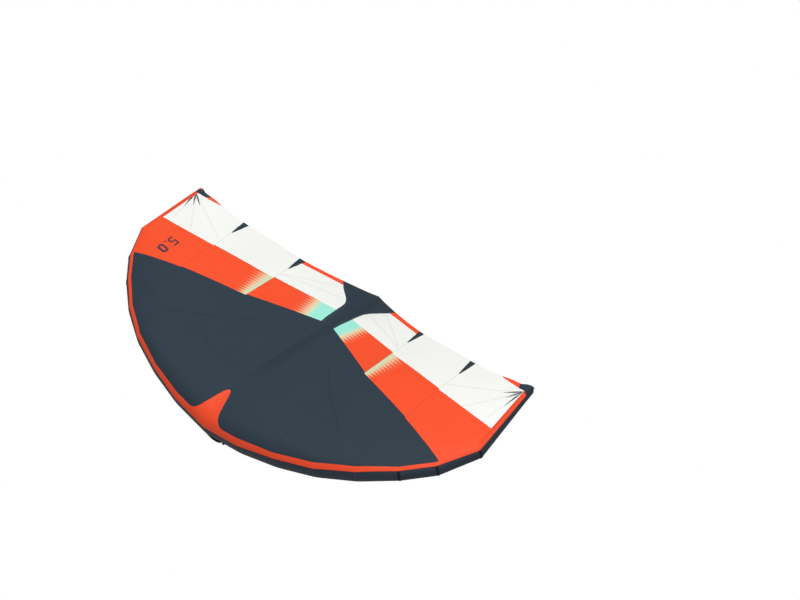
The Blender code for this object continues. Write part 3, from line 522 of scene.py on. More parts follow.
def crumple_group():
    """Soft long wrinkles of stretched cloth, and a slow change of tone."""
    tree, come, leave = new_group("cloth_crumple", {"Place": "Vector"}, {"Wrinkle": "Float", "Tone": "Float"})
    stretch = add(tree, "ShaderNodeMapping")
    stretch.inputs["Scale"].default_value = (6.0, 1.6, 1.0)
    tree.links.new(come["Place"], stretch.inputs["Vector"])
    for place, scale, detail, out in (
        (stretch.outputs[0], 1.3, 3.0, "Wrinkle"),
        (come["Place"], 2.2, 2.0, "Tone"),
    ):
        noise = add(tree, "ShaderNodeTexNoise")
        noise.inputs["Scale"].default_value = scale
        noise.inputs["Detail"].default_value = detail
        tree.links.new(place, noise.inputs["Vector"])
        tree.links.new(noise.outputs[0], leave[out])
    return tree


CRUMPLE = crumple_group()


def plan_group():
    """Plan position: how far out from the centre line, and how far back from the nose."""
    tree, come, leave = new_group("plan_place", {"Place": "Vector"}, {"Plan": "Vector", "Left": "Float"})
    x, y = split_up(tree, come["Place"])
    joined = add(tree, "ShaderNodeCombineXYZ")
    tree.links.new(maths(tree, "ABSOLUTE", x), joined.inputs[0])
    tree.links.new(maths(tree, "SUBTRACT", y, float(NOSE[1])), joined.inputs[1])
    tree.links.new(joined.outputs[0], leave["Plan"])
    tree.links.new(maths(tree, "LESS_THAN", x, 0.0), leave["Left"])
    return tree


PLAN = plan_group()


def line_group():
    """A soft-edged straight stroke on the plan, with its own half width at each end."""
    tree, come, leave = new_group(
        "sewn_line",
        {"Plan": "Vector", "From": "Vector", "To": "Vector", "Start": "Float", "End": "Float"},
        {"Mask": "Float"},
    )

    def vector(operation, a, b=None, scale=None):
        node = add(tree, "ShaderNodeVectorMath", operation=operation)
        tree.links.new(a, node.inputs[0])
        if b is not None:
            tree.links.new(b, node.inputs[1])
        if scale is not None:
            tree.links.new(scale, node.inputs["Scale"])
        return node

    here = vector("SUBTRACT", come["Plan"], come["From"]).outputs[0]
    whole = vector("SUBTRACT", come["To"], come["From"]).outputs[0]
    part = vector("DOT_PRODUCT", here, whole).outputs["Value"]
    square = vector("DOT_PRODUCT", whole, whole).outputs["Value"]
    share = maths(tree, "DIVIDE", part, square, clamp=True)
    near = vector("SCALE", whole, scale=share).outputs[0]
    gap = vector("DISTANCE", here, near).outputs["Value"]
    grown = maths(tree, "SUBTRACT", come["End"], come["Start"])
    half = maths(tree, "MULTIPLY_ADD", grown, share, come["Start"])
    soft = add(tree, "ShaderNodeMapRange", interpolation_type="SMOOTHSTEP")
    tree.links.new(maths(tree, "DIVIDE", gap, half), soft.inputs["Value"])
    for name, value in (("From Min", 0.55), ("From Max", 1.45), ("To Min", 1.0), ("To Max", 0.0)):
        soft.inputs[name].default_value = value
    tree.links.new(soft.outputs[0], leave["Mask"])
    return tree


LINE = line_group()


def place_of(tree, use_uv):
    """Where the shader is: on the piece's UV map of real lengths, or in its object's space."""
    node = add(tree, "ShaderNodeTexCoord")
    return node.outputs["UV" if use_uv else "Object"]


def bump(tree, height, strength, distance, under=None):
    """A Bump node's normal, laid over the normal under it."""
    node = add(tree, "ShaderNodeBump")
    node.inputs["Strength"].default_value = strength
    node.inputs["Distance"].default_value = distance
    tree.links.new(height, node.inputs["Height"])
    if under is not None:
        tree.links.new(under, node.inputs["Normal"])
    return node.outputs[0]


def lines_mask(tree, plan, strokes):
    """One mask of many strokes, each (from, to, half width) or (from, to, start, end)."""
    mask = None
    for a, b, *halves in strokes:
        stroke = add(tree, "ShaderNodeGroup", node_tree=LINE)
        tree.links.new(plan, stroke.inputs["Plan"])
        stroke.inputs["From"].default_value = (a[0], a[1], 0)
        stroke.inputs["To"].default_value = (b[0], b[1], 0)
        stroke.inputs["Start"].default_value = halves[0]
        stroke.inputs["End"].default_value = halves[-1]
        found = stroke.outputs["Mask"]
        mask = found if mask is None else maths(tree, "MAXIMUM", mask, found)
    return mask


def shade(c, factor):
    """The colour, that many times as bright."""
    return tuple(min(v * factor, 1) for v in c[:3]) + (1,)


def darken(tree, base, mask, amount, other):
    """The base with a share of the other colour where the mask is 1."""
    return mix_colour(tree, maths(tree, "MULTIPLY", mask, amount), base, other)


def chain(points, *halves):
    """Strokes from each point to the next."""
    return [(a, b, *halves) for a, b in zip(points, points[1:])]


def cloth(name, base, roughness, use_uv=False, cell=0.006, strength=0.5, wrinkle=0.25, specular=0.22,
          marks=None):
    """Coated cloth. marks(tree, plan, left, colour) adds what is sewn or printed on the plan, and painted
    shade along folds and beside the strut.
    """
    made, tree, shader = new_material(name, base, roughness)
    shader.inputs["Specular IOR Level"].default_value = specular
    place = place_of(tree, use_uv)
    weave = add(tree, "ShaderNodeGroup", node_tree=RIPSTOP)
    weave.inputs["Cell"].default_value = cell
    tree.links.new(place, weave.inputs["Place"])
    crumple = add(tree, "ShaderNodeGroup", node_tree=CRUMPLE)
    tree.links.new(place, crumple.inputs["Place"])
    normal = bump(tree, weave.outputs["Height"], strength, 0.0003)
    normal = bump(tree, crumple.outputs["Wrinkle"], wrinkle, 0.012, normal)
    tone = crumple.outputs["Tone"]
    varied = mix_colour(tree, tone, shade(base, 0.93), shade(base, 1.06))
    threads = maths(tree, "MULTIPLY", weave.outputs["Threads"], 0.2)
    lined = mix_colour(tree, threads, varied, shade(base, 1.10))
    if marks:
        planned = add(tree, "ShaderNodeGroup", node_tree=PLAN)
        tree.links.new(place_of(tree, False), planned.inputs["Place"])
        lined, seams = marks(tree, planned.outputs["Plan"], planned.outputs["Left"], lined)
        normal = bump(tree, seams, 0.6, 0.002, normal)
    tree.links.new(lined, shader.inputs["Base Color"])
    tree.links.new(normal, shader.inputs["Normal"])
    rough = maths(tree, "ADD", maths(tree, "MULTIPLY", tone, 0.12), roughness - 0.06)
    tree.links.new(rough, shader.inputs["Roughness"])
    return made


def smooth_mask(tree, value, low, high):
    """0 at low and 1 at high, with a soft step between."""
    soft = add(tree, "ShaderNodeMapRange", interpolation_type="SMOOTHSTEP")
    tree.links.new(value, soft.inputs["Value"])
    soft.inputs["From Min"].default_value = low
    soft.inputs["From Max"].default_value = high
    return soft.outputs[0]


def tail_group():
    """1 inside the smooth edge of the tail panel, 0 outside."""
    tree, come, leave = new_group("tail_panel_edge", {"Plan": "Vector"}, {"Mask": "Float"})
    out, back = split_up(tree, come["Plan"])
    low, high, wide = TAIL_LINE[0][1], TAIL_LINE[-1][1], TAIL_LINE[-1][0]
    share = maths(tree, "DIVIDE", maths(tree, "SUBTRACT", back, low), high - low)
    edge = add(tree, "ShaderNodeFloatCurve")
    curve = edge.mapping.curves[0]
    curve.points[0].location = (0, TAIL_LINE[0][0] / wide)
    curve.points[1].location = (1, 1)
    for x, y in TAIL_LINE[1:-1]:
        curve.points.new((y - low) / (high - low), x / wide)
    edge.mapping.update()
    tree.links.new(share, edge.inputs["Value"])
    across = maths(tree, "MULTIPLY", edge.outputs[0], wide)
    behind = maths(tree, "GREATER_THAN", back, low - 0.02)
    within = maths(tree, "LESS_THAN", out, across)
    tree.links.new(maths(tree, "MULTIPLY", within, behind), leave["Mask"])
    return tree


TAIL = tail_group()


def with_tail(tree, plan, base):
    """The dark tail panel laid over the paler cloth beside it."""
    edge = add(tree, "ShaderNodeGroup", node_tree=TAIL)
    tree.links.new(plan, edge.inputs["Plan"])
    return mix_colour(tree, edge.outputs["Mask"], base, DARK_CANOPY)


def dark_marks(tree, plan, left, base):
    """Seams, with painted shade along a slanting fold and along the line over the strut, and a deeper painted
    shade along its right side.
    """
    seams = lines_mask(tree, plan, [(a, b, 0.004) for a, b in SEAM_LINES] + chain(SPAN_SEAM, 0.004))
    # Painted shade: the slanting fold and the line over the strut are darkened where shade would lie in them
    crease_shade = lines_mask(tree, plan, chain(SLANT_CREASE, 0.007))
    centre = lines_mask(tree, plan, [((0, 0.13), (0, 1.10), 0.006, 0.012)])
    deep = shade(DARK_CANOPY, 0.6)
    tinted = darken(tree, base, seams, 0.18, deep)
    tinted = darken(tree, tinted, crease_shade, 0.35, deep)
    tinted = darken(tree, tinted, centre, 0.2, deep)
    # Painted shade: the canopy just right of the strut, from 0.2 to 0.55 m back, is darkened as if turned
    # away from the light
    out, back = split_up(tree, plan)
    beside = smooth_mask(tree, out, 0.11, 0.03)
    along = smooth_mask(tree, back, 0.20, 0.55)
    right = maths(tree, "SUBTRACT", 1.0, left)
    beside = maths(tree, "MULTIPLY", maths(tree, "MULTIPLY", beside, along), right)
    return darken(tree, tinted, beside, 0.30, deep), seams


def white_marks(tree, plan, left, base):
    """Seams, painted shade along soft folds, the dark rays at the tip and the orange edge along the tube's
    end.
    """
    seams = lines_mask(tree, plan, [(a, b, 0.003) for a, b in DART_SEAMS])
    # Painted shade along the folds of the white cloth
    folds = lines_mask(
        tree,
        plan,
        [(a, b, 0.004) for a, b in INNER_FOLDS] + [(TIP_CORNER, end, 0.004) for end in TIP_FOLDS],
    )
    rays = []
    for end in TIP_RAYS:
        swell = tuple(c + 0.4 * (e - c) for c, e in zip(TIP_CORNER, end))
        rays += [(TIP_CORNER, swell, 0.003, 0.0072), (swell, end, 0.0072, 0.001)]
    rays = lines_mask(tree, plan, rays)
    tinted = darken(tree, base, seams, 0.45, shade(WHITE, 0.72))
    tinted = darken(tree, tinted, folds, 0.35, shade(WHITE, 0.75))
    tinted = darken(tree, tinted, rays, 0.95, DARK_CANOPY)
    out, back = split_up(tree, plan)
    start = maths(tree, "MULTIPLY_ADD", left, -EDGE_LEFT_SHIFT, EDGE_START)
    beyond = maths(tree, "GREATER_THAN", maths(tree, "MULTIPLY_ADD", back, EDGE_SLOPE, out), start)
    behind = maths(tree, "GREATER_THAN", back, EDGE_FRONT)
    edge = maths(tree, "MULTIPLY", beyond, behind)
    tinted = darken(tree, tinted, edge, 1.0, shade(BAND_ORANGE, 0.85))
    return with_tail(tree, plan, tinted), maths(tree, "MAXIMUM", seams, folds)


def size_mark():
    """Strokes of a plain 5.0, read from above with its top outwards."""
    tall, wide = MARK_TALL, MARK_HALF
    mid, low = 0.52 * tall, 0.12 * tall
    five = (
        (wide, tall), (-wide, tall), (-wide, mid), (0.6 * wide, mid), (wide, 0.8 * mid), (wide, low),
        (0.6 * wide, 0), (-wide, 0),
    )
    nought = (
        (-wide, low), (-wide, tall - low), (0, tall), (wide, tall - low), (wide, low), (0, 0), (-wide, low),
    )
    strokes = []
    for middle, half, outline in (
        (MARK_FIVE, 0.0075, five),
        (MARK_DOT, 0.008, ((0, 0), (0.001, 0))),
        (MARK_NOUGHT, 0.0100, nought),
    ):
        strokes += chain([(MARK_BASE - height, middle - across) for across, height in outline], half)
    return strokes


def orange_marks(tree, plan, left, base):
    """Toothed fades from mint and cream, seams, the size mark and a dark corner at the left tip."""
    x, y = split_up(tree, plan)
    slanted = maths(tree, "MULTIPLY_ADD", x, TOOTH_SLANT, y)
    row = maths(tree, "FRACT", maths(tree, "DIVIDE", slanted, TOOTH_PITCH))
    spike = maths(tree, "MULTIPLY", maths(tree, "ABSOLUTE", maths(tree, "SUBTRACT", row, 0.5)), 2.0)

    def fade(start, slope, back, length, growth):
        """0 at the pale end and 1 at the tips of the longest teeth, along the panel."""
        behind = maths(tree, "SUBTRACT", y, back)
        edge = maths(tree, "MULTIPLY_ADD", behind, slope, start)
        reach = maths(tree, "MULTIPLY_ADD", behind, growth, length)
        return maths(tree, "DIVIDE", maths(tree, "SUBTRACT", x, edge), reach)

    def toothed(share, shortest):
        """Orange that comes in sooner between the teeth than along them."""
        ends = maths(tree, "MULTIPLY_ADD", spike, 1 - shortest, shortest)
        return smooth_mask(tree, maths(tree, "DIVIDE", share, ends), 0.0, 1.0)

    inner = fade(*INNER_FADE)
    pale = mix_colour(tree, smooth_mask(tree, inner, -0.10, 0.30), MINT, CREAM)
    first = mix_colour(tree, toothed(maths(tree, "SUBTRACT", inner, 0.10), 0.42), pale, base)
    outer = fade(*OUTER_FADE)
    beige = mix_colour(tree, smooth_mask(tree, outer, 0.0, 0.30), PALE_MINT, CREAM)
    second = mix_colour(tree, toothed(outer, 0.40), beige, base)
    past_seam = maths(tree, "GREATER_THAN", x, maths(tree, "MULTIPLY_ADD", y, *SEAM_EDGE))
    on_panel = maths(tree, "GREATER_THAN", y, OUTER_FADE_FRONT)
    printed = mix_colour(tree, maths(tree, "MULTIPLY", past_seam, on_panel), first, second)
    slope, start = HEM_EDGE
    on_hem = maths(tree, "GREATER_THAN", maths(tree, "MULTIPLY_ADD", x, slope, y), start)
    printed = mix_colour(tree, on_hem, printed, base)
    seams = lines_mask(tree, plan, [(a, b, 0.003) for a, b in SEAM_LINES])
    printed = darken(tree, printed, seams, 0.35, shade(ORANGE, 0.7))
    mark = maths(tree, "MULTIPLY", lines_mask(tree, plan, size_mark()), left)
    printed = darken(tree, printed, mark, 0.95, shade(DARK_CANOPY, 0.8))
    slope, start = CORNER_EDGE
    corner = maths(tree, "GREATER_THAN", maths(tree, "MULTIPLY_ADD", y, slope, x), start)
    printed = darken(tree, printed, maths(tree, "MULTIPLY", corner, left), 1.0, DARK_CANOPY)
    return with_tail(tree, plan, printed), seams


def underside_marks(tree, plan, left, base):
    """The underside carries no print: plain orange with its seams."""
    seams = lines_mask(tree, plan, [(a, b, 0.003) for a, b in SEAM_LINES])
    return with_tail(tree, plan, darken(tree, base, seams, 0.35, shade(ORANGE, 0.7))), seams


def tube_marks(tree, plan, left, base):
    """Fine stitched lines where the lengths of the tube meet."""
    along, _ = split_up(tree, place_of(tree, True))
    out = maths(tree, "ABSOLUTE", along)
    mask = None
    for i in range(5):
        found = maths(tree, "COMPARE", out, float(sum(lengths[:i])), 0.0022)
        mask = found if mask is None else maths(tree, "MAXIMUM", mask, found)
    return darken(tree, base, mask, 0.4, shade(DARK_TUBE, 2.2)), mask


tube_cloth = cloth("tube_cloth", DARK_TUBE, 0.50, use_uv=True, cell=0.004, wrinkle=0.15, marks=tube_marks)
strut_cloth = cloth("strut_cloth", DARK_TUBE, 0.50, use_uv=True, cell=0.004, wrinkle=0.15)
dark_cloth = cloth("dark_canopy_cloth", DARK_CANOPY, 0.6, wrinkle=0.15, specular=0.1, marks=dark_marks)
orange_cloth = cloth("orange_canopy_cloth", ORANGE, 0.55, wrinkle=0.12, marks=orange_marks)
orange_underside = cloth("orange_underside_cloth", ORANGE, 0.55, wrinkle=0.12, marks=underside_marks)
white_cloth = cloth("white_canopy_cloth", WHITE, 0.5, wrinkle=0.10, marks=white_marks)
band_cloth = cloth("orange_band_cloth", BAND_ORANGE, 0.55, use_uv=True, cell=0.004, wrinkle=0.1)
tape_cloth = cloth("seam_tape_cloth", TAPE, 0.6, use_uv=True, cell=0.003, wrinkle=0.0)
webbing = cloth("black_webbing", BLACK, 0.8, use_uv=True, cell=0.0022, strength=0.9, wrinkle=0.0)
pad_cloth = cloth("grey_pad_cloth", PAD_GREY, 0.85, use_uv=True, cell=0.003, strength=0.8, wrinkle=0.0)
cap_orange = cloth("orange_cap_cloth", BAND_ORANGE, 0.5, use_uv=True, cell=0.004, wrinkle=0.05)


def stand(made, spot, x, y, z):
    """Links an object, standing at the spot with these axes."""
    bpy.context.scene.collection.objects.link(made)
    made.matrix_world = Matrix.Translation(spot) @ Matrix((x, y, z)).transposed().to_4x4()


def make_camera():
    """The camera stands where the photograph's main view was taken from."""
    aim = Vector((0, 0.40, 0.12308))
    aim_pixel, pixels_a_metre = (318.8, 340.5), 132.31
    width, height, sensor = 800, 600, 36
    turn, lift, roll = math.radians(45.20), math.radians(45.67), math.radians(2.36)
    away = 1 / 0.1342
    right = Vector((math.cos(turn), math.sin(turn), 0))
    up = Vector((-math.sin(turn) * math.sin(lift), math.cos(turn) * math.sin(lift), math.cos(lift)))
    toward = Vector((math.sin(turn) * math.cos(lift), -math.cos(turn) * math.cos(lift), math.sin(lift)))
    lens = bpy.data.cameras.new("camera")
    lens.sensor_width = sensor
    lens.lens = pixels_a_metre * away / width * sensor
    lens.shift_x = (width / 2 - aim_pixel[0]) / width
    lens.shift_y = (aim_pixel[1] - height / 2) / width
    lens.clip_end = 60
    camera = bpy.data.objects.new("camera", lens)
    across = right * math.cos(roll) - up * math.sin(roll)
    upright = right * math.sin(roll) + up * math.cos(roll)
    stand(camera, aim + toward * away, across, upright, toward)
    bpy.context.scene.camera = camera


def cut(bm, a, b, low, high):
    """Cuts the faces near the plan line a to b, and its mirror, by an upright plane."""
    for side in (-1, 1):
        p = Vector((a[0] * side, a[1], 0))
        q = Vector((b[0] * side, b[1], 0))
        square = (q - p).cross(Vector((0, 0, 1))).normalized()
        faces = [
            f
            for f in bm.faces
            if all(low[k] <= (side * c if k == 0 else c) <= high[k]
                   for k, c in enumerate(f.calc_center_median()[:2]))
        ]
        geom = set(faces)
        for f in faces:
            geom.update(f.edges)
            geom.update(f.verts)
        bmesh.ops.bisect_plane(bm, geom=list(geom), dist=0.00002, plane_co=p, plane_no=square)


def line_at(points, value, along=0):
    """The other coordinate of a plan line, at a value of the one that runs along it."""
    xs = [p[along] for p in points]
    return float(np.interp(value, xs, [p[1 - along] for p in points]))


def inside(p, corners):
    """Whether a plan point lies in an outline that bulges outwards all round."""
    if p[1] < min(c[1] for c in corners):
        return False
    turns = [
        (b[0] - a[0]) * (p[1] - a[1]) - (b[1] - a[1]) * (p[0] - a[0])
        for a, b in zip(corners, corners[1:] + corners[:1])
    ]
    return all(t >= 0 for t in turns) or all(t <= 0 for t in turns)


@lru_cache(maxsize=None)
def dart_outline(dart):
    """A dart with a blunt tip and sides that bow out a little."""
    tip, a, b = (np.array(p) for p in dart)
    points = []
    for end in (a, b):
        other = b if end is a else a
        outwards = (end - other) / np.linalg.norm(end - other)
        points.append([tip + outwards * 0.004, tip + (end - tip) * 0.5 + outwards * 0.004, end])
    return tuple(tuple(p) for p in points[0] + points[1][::-1])


def past_patch_edge(x, y):
    """Whether a point of the tip hem is on the dark patch."""
    (x0, y0), (x1, y1) = TIP_PATCH_EDGE
    return x > x0 + (x1 - x0) * (y - y0) / (y1 - y0)


def bay(x, y):
    """0, 1 or 2: between which seams a plan point lies."""
    if x < line_at(SEAM_LINES[0], y, 1):
        return 0
    return 1 if x < line_at(SEAM_LINES[1], y, 1) else 2


def cloth_of(x, y):
    """0 dark, 1 orange, 2 white, at a plan point of the right half."""
    b = bay(x, y)
    if y < line_at(DARK_LINES[b], x):
        return 0
    if x < line_at(TAIL_LINE, y, 1) - 0.03:
        return 0
    if any(inside((x, y), dart_outline(dart)) for dart in (INNER_DART, OUTER_DART)):
        return 0
    if y < line_at(WHITE_LINES[b], x):
        return 1
    if b == 0 and y > line_at(INNER_HEM, x):
        return 1
    if x > TIP_HEM[0][0] and y > line_at(TIP_HEM, x):
        return 0 if past_patch_edge(x, y) else 1
    return 2


def make_canopy():
    """One sheet of cloth, cut along the colours' edges so that each face is of one cloth."""
    bm = bmesh.new()

    def place(a, b):
        u = (a - 0.5) * 2 * LAST
        v = abs(u)
        reach_front = front(v)
        s = reach_front + (1 - reach_front) * (b * 0.75 + 0.25 * b * b) if b > 0 else reach_front
        point = canopy(u, s)
        return point, (point[0], point[1])

    surface(bm, 2 * STATIONS_A_SIDE, ROWS, place)
    bmesh.ops.remove_doubles(bm, verts=bm.verts, dist=0.0001)
    face_out(bm, (0, 0, 1))
    margin = 0.05
    for line in SEAM_LINES:
        cut(bm, line[0], line[1], (line[0][0] - margin, -1), (line[1][0] + margin, 2))
    for k, line in enumerate(DARK_LINES):
        low = (line[0][0] - (0.02 if k == 0 else 0), line[1][1] - margin)
        cut(bm, line[0], line[1], low, (line[1][0], line[0][1] + margin))
    for line in WHITE_LINES:
        cut(bm, line[0], line[1], (line[0][0], line[1][1] - margin), (line[1][0], line[0][1] + margin))
    for dart in (INNER_DART, OUTER_DART):
        outline = dart_outline(dart)
        for a, b in zip(outline, outline[1:] + outline[:1]):
            if min(a[1], b[1]) > dart[1][1] - 0.02:
                continue
            low = (dart[1][0] - 0.02, min(a[1], b[1]) - 0.02)
            cut(bm, a, b, low, (dart[2][0] + 0.02, max(a[1], b[1]) + 0.02))
    cut(bm, INNER_HEM[0], INNER_HEM[1], (0.2, 1.40), (0.60, 1.65))
    cut(bm, TIP_HEM[0], TIP_HEM[1], (1.40, 1.25), (1.58, 1.37))
    cut(bm, (TIP_HEM[0][0], 1.30), (TIP_HEM[0][0], 1.40), (1.38, 1.33), (1.44, 1.38))
    cut(bm, TIP_HEM[1], TIP_HEM[2], (1.565, 1.25), (1.66, 1.36))
    cut(bm, TIP_PATCH_EDGE[0], TIP_PATCH_EDGE[1], (1.53, 1.29), (1.60, 1.40))
    for f in bm.faces:
        c = f.calc_center_median()
        f.material_index = cloth_of(abs(c.x), c.y)
    over = (dark_cloth, orange_cloth, white_cloth)
    made = made_of("canopy_cloth", bm, *over, dark_cloth, orange_underside, white_cloth)
    solid(made, WALL).material_offset = len(over)
    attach(made, "wing")
    gone = [n for n in nodes if n.startswith(("canopy_", "dart_", "hem_", "tip_patch_"))]
    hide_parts(*gone)


def make_tube():
    """The casing, drawn in a little at each of its seams."""
    total = sum(lengths)
    starts = np.concatenate(([0], np.cumsum(lengths)))
    pinch, pinch_reach = 0.0012, 0.010

    def place(a, b):
        distance = (a - 0.5) * 2 * total
        side = -1 if distance < 0 else 1
        d = min(abs(distance), total - 1e-9)
        i = int(np.searchsorted(starts, d, side="right")) - 1
        i = min(i, LAST - 1)
        u = i + (d - starts[i]) / lengths[i]
        nearest = min(abs(d - s) for s in starts)
        turn = b * 2 * math.pi
        point = on_tube(u, turn, -pinch * math.exp(-((nearest / pinch_reach) ** 2)))
        return point * np.array((side, 1, 1)), (distance, turn * between(radii, u))

    bm = bmesh.new()
    surface(bm, 480, 72, place, wrap=True)
    bmesh.ops.recalc_face_normals(bm, faces=bm.faces)
    made = made_of("air_tube_casing", bm, tube_cloth)
    solid(made, WALL, -1)
    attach(made, "wing")
    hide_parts(*[n for n in nodes if n.startswith("le_segment_")])


def patch_edge(u):
    """Rear edge of the centre patch, a bell that stands on the edge of the band."""
    if u >= PATCH_HALF:
        return front(u)
    nose = PATCH_REACH * ROOT_CHORD / chord(0)
    foot = math.exp(-((PATCH_HALF / PATCH_BELL) ** 2))
    rise = (math.exp(-((u / PATCH_BELL) ** 2)) - foot) / (1 - foot)
    return front(u) + (nose - front(u)) * rise


def turn_up(made):
    """Turns the faces of a finished open sheet to look up, before it gets its wall."""
    bm = bmesh.new()
    bm.from_mesh(made.data)
    bmesh.ops.recalc_face_normals(bm, faces=bm.faces)
    face_out(bm, (0, 0, 1))
    bm.to_mesh(made.data)
    bm.free()


def make_band():
    """The orange band along the tube, from cap to cap."""
    bm = bmesh.new()
    total = LAST - (CAP_LENGTH - CAP_BEYOND) / lengths[-1]
    on_casing = 0.8

    def place(a, b):
        """On the tube up to the canopy, then a little way over the canopy's edge."""
        u = (a - 0.5) * 2 * total
        v = abs(u)
        side = np.array((-1 if u < 0 else 1, 1, 1))
        share = min(b / on_casing, 1)
        turn = quarter(LOW_SHARES, v) + (quarter(HIGH_SHARES, v) - quarter(LOW_SHARES, v)) * share
        if b < on_casing:
            return on_tube(v, turn, SKIN + 0.0002) * side, (u * 0.3, turn * between(radii, v))
        over = (0.0005 if v < 0.7 else 0.002) * (b - on_casing) / (1 - on_casing)
        point = canopy(v, front(v) + over / chord(v)) + np.array((0, 0, 0.0011))
        return point * side, (u * 0.3, turn * between(radii, v) + over)

    surface(bm, 320, 15, place)
    made = made_of("nose_band", bm, band_cloth)
    turn_up(made)
    solid(made, WALL)
    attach(made, "wing")
    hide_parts("le_band")


def make_centre_patch():
    """The bell of orange cloth behind the middle of the band."""
    bm = bmesh.new()

    def place(a, b):
        u = (a - 0.5) * 2 * PATCH_HALF
        v = abs(u)
        s = front(v) + (patch_edge(v) - front(v)) * b
        if s < 0:
            turn = quarter(LEAVE_SHARES, v)
            turn += (quarter(HIGH_SHARES, v) - turn) * s / front(v)
            point = on_tube(v, turn, SKIN + 0.001) * np.array((-1 if u < 0 else 1, 1, 1))
        else:
            point = canopy(u, s) + np.array((0, 0, 0.0009))
        return point, (u * 0.3, s)

    surface(bm, 80, 24, place)
    bmesh.ops.remove_doubles(bm, verts=bm.verts, dist=0.0001)
    made = made_of("centre_patch", bm, band_cloth)
    turn_up(made)
    solid(made, 0.0006)
    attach(made, "wing")
    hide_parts("le_centre_patch")


def make_tapes():
    """Dark tapes over the outer seams of the tube, round it from the band and back to it."""
    width, short = 0.018, 0.02
    for name, side in (("left", -1), ("right", 1)):
        bm = bmesh.new()
        for i in (5, 6, 7):

            def place(a, b, i=i, side=side):
                off = (a - 0.5) * width
                u = i + off / lengths[i if off > 0 else i - 1]
                lift = 0.0006 if 0.02 < a < 0.98 else 0.0001
                low = quarter(HIGH_SHARES, i) - 2 * math.pi + short
                turn = low + (quarter(LOW_SHARES, i) - short - low) * b
                return on_tube(u, turn, lift) * np.array((side, 1, 1)), (off, turn * radii[i])

            surface(bm, 8, 64, place)
        bmesh.ops.recalc_face_normals(bm, faces=bm.faces)
        made = made_of(f"seam_tapes_{name}", bm, tape_cloth)
        solid(made, 0.0006, 1)
        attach(made, "wing")


def on_strut(y, turn, extra=0.0):
    """Point on the strut, with its place on the unrolled skin."""
    height, radius = strut_at(y)
    radius += extra
    point = np.array((radius * math.cos(turn), y, height + radius * math.sin(turn)))
    return point, (y, turn * radius)


def make_strut():
    """The strut's casing, drawn in a little at its two seams."""
    bm = bmesh.new()
    end = TAIL_END - 0.080
    pinch, pinch_reach = 0.0014, 0.009

    def place(a, b):
        y = STRUT_START + (end - STRUT_START) * a
        nearest = min(abs(y - seam) for seam in STRUT_SEAMS)
        return on_strut(y, b * 2 * math.pi, -pinch * math.exp(-((nearest / pinch_reach) ** 2)))

    surface(bm, 170, 72, place, wrap=True)
    bmesh.ops.recalc_face_normals(bm, faces=bm.faces)
    made = made_of("strut_casing", bm, strut_cloth)
    solid(made, WALL, -1)
    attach(made, "wing")
    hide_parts("strut_front", "strut_middle", "strut_rear")


def cap_piece(name, ring, length, rounding, material, slot, gone):
    """A fabric end cap: ring(distance out, turn, radius change) gives its skin."""
    bm = bmesh.new()
    sleeve = 0.6

    def place(a, b):
        turn = b * 2 * math.pi
        if a < sleeve:
            out, change = (length - rounding) * a / sleeve, 0.0
        else:
            swing = (a - sleeve) / (1 - sleeve) * math.pi / 2
            out = length - rounding + rounding * math.sin(swing)
            change = -rounding * (1 - math.cos(swing))
        return ring(out, turn, change + WALL), (out, turn * 0.03)

    surface(bm, 24, 64, place, wrap=True)
    start = Vector(ring(0, 0, 0))
    ends = [e for e in bm.edges if e.is_boundary]
    far = max(ends, key=lambda e: (e.verts[0].co - start).length)
    rim = [e for e in ends if (e.verts[0].co - far.verts[0].co).length < 0.05]
    bmesh.ops.holes_fill(bm, edges=rim)
    bmesh.ops.recalc_face_normals(bm, faces=bm.faces)
    made = made_of(name, bm, material)
    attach(made, "wing")
    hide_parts(gone)


def make_caps():
    """The caps over the tube's two ends, orange at the left and dark at the right, and the strut's."""
    across, up, along = frames[LAST]
    for name, side, material, slot in (
        ("left", -1, cap_orange, "orange_cloth"),
        ("right", 1, strut_cloth, "dark_tube_cloth"),
    ):

        def ring(out, turn, change, side=side):
            beyond = out - (CAP_LENGTH - CAP_BEYOND)
            if beyond < 0:
                point = on_tube(LAST + beyond / lengths[-1], turn, change)
            else:
                radius = radii[LAST] + change
                spoke = radius * (math.cos(turn) * across + math.sin(turn) * up)
                point = centres[LAST] + along * beyond + spoke
            return point * np.array((side, 1, 1))

        cap_piece(f"tip_cap_cloth_{name}", ring, CAP_LENGTH, CAP_ROUND, material, slot, f"tip_cap_{name}")

    def tail(out, turn, change):
        y = TAIL_END - TAIL_CAP_SLEEVE + out
        point, _ = on_strut(min(y, TAIL_END - 0.01), turn, change)
        return np.array((point[0], y, point[2]))

    length, rounding = TAIL_CAP_LENGTH, TAIL_CAP_ROUND
    cap_piece("tail_cap_cloth", tail, length, rounding, cap_orange, "orange_cloth", "strut_tail_cap")


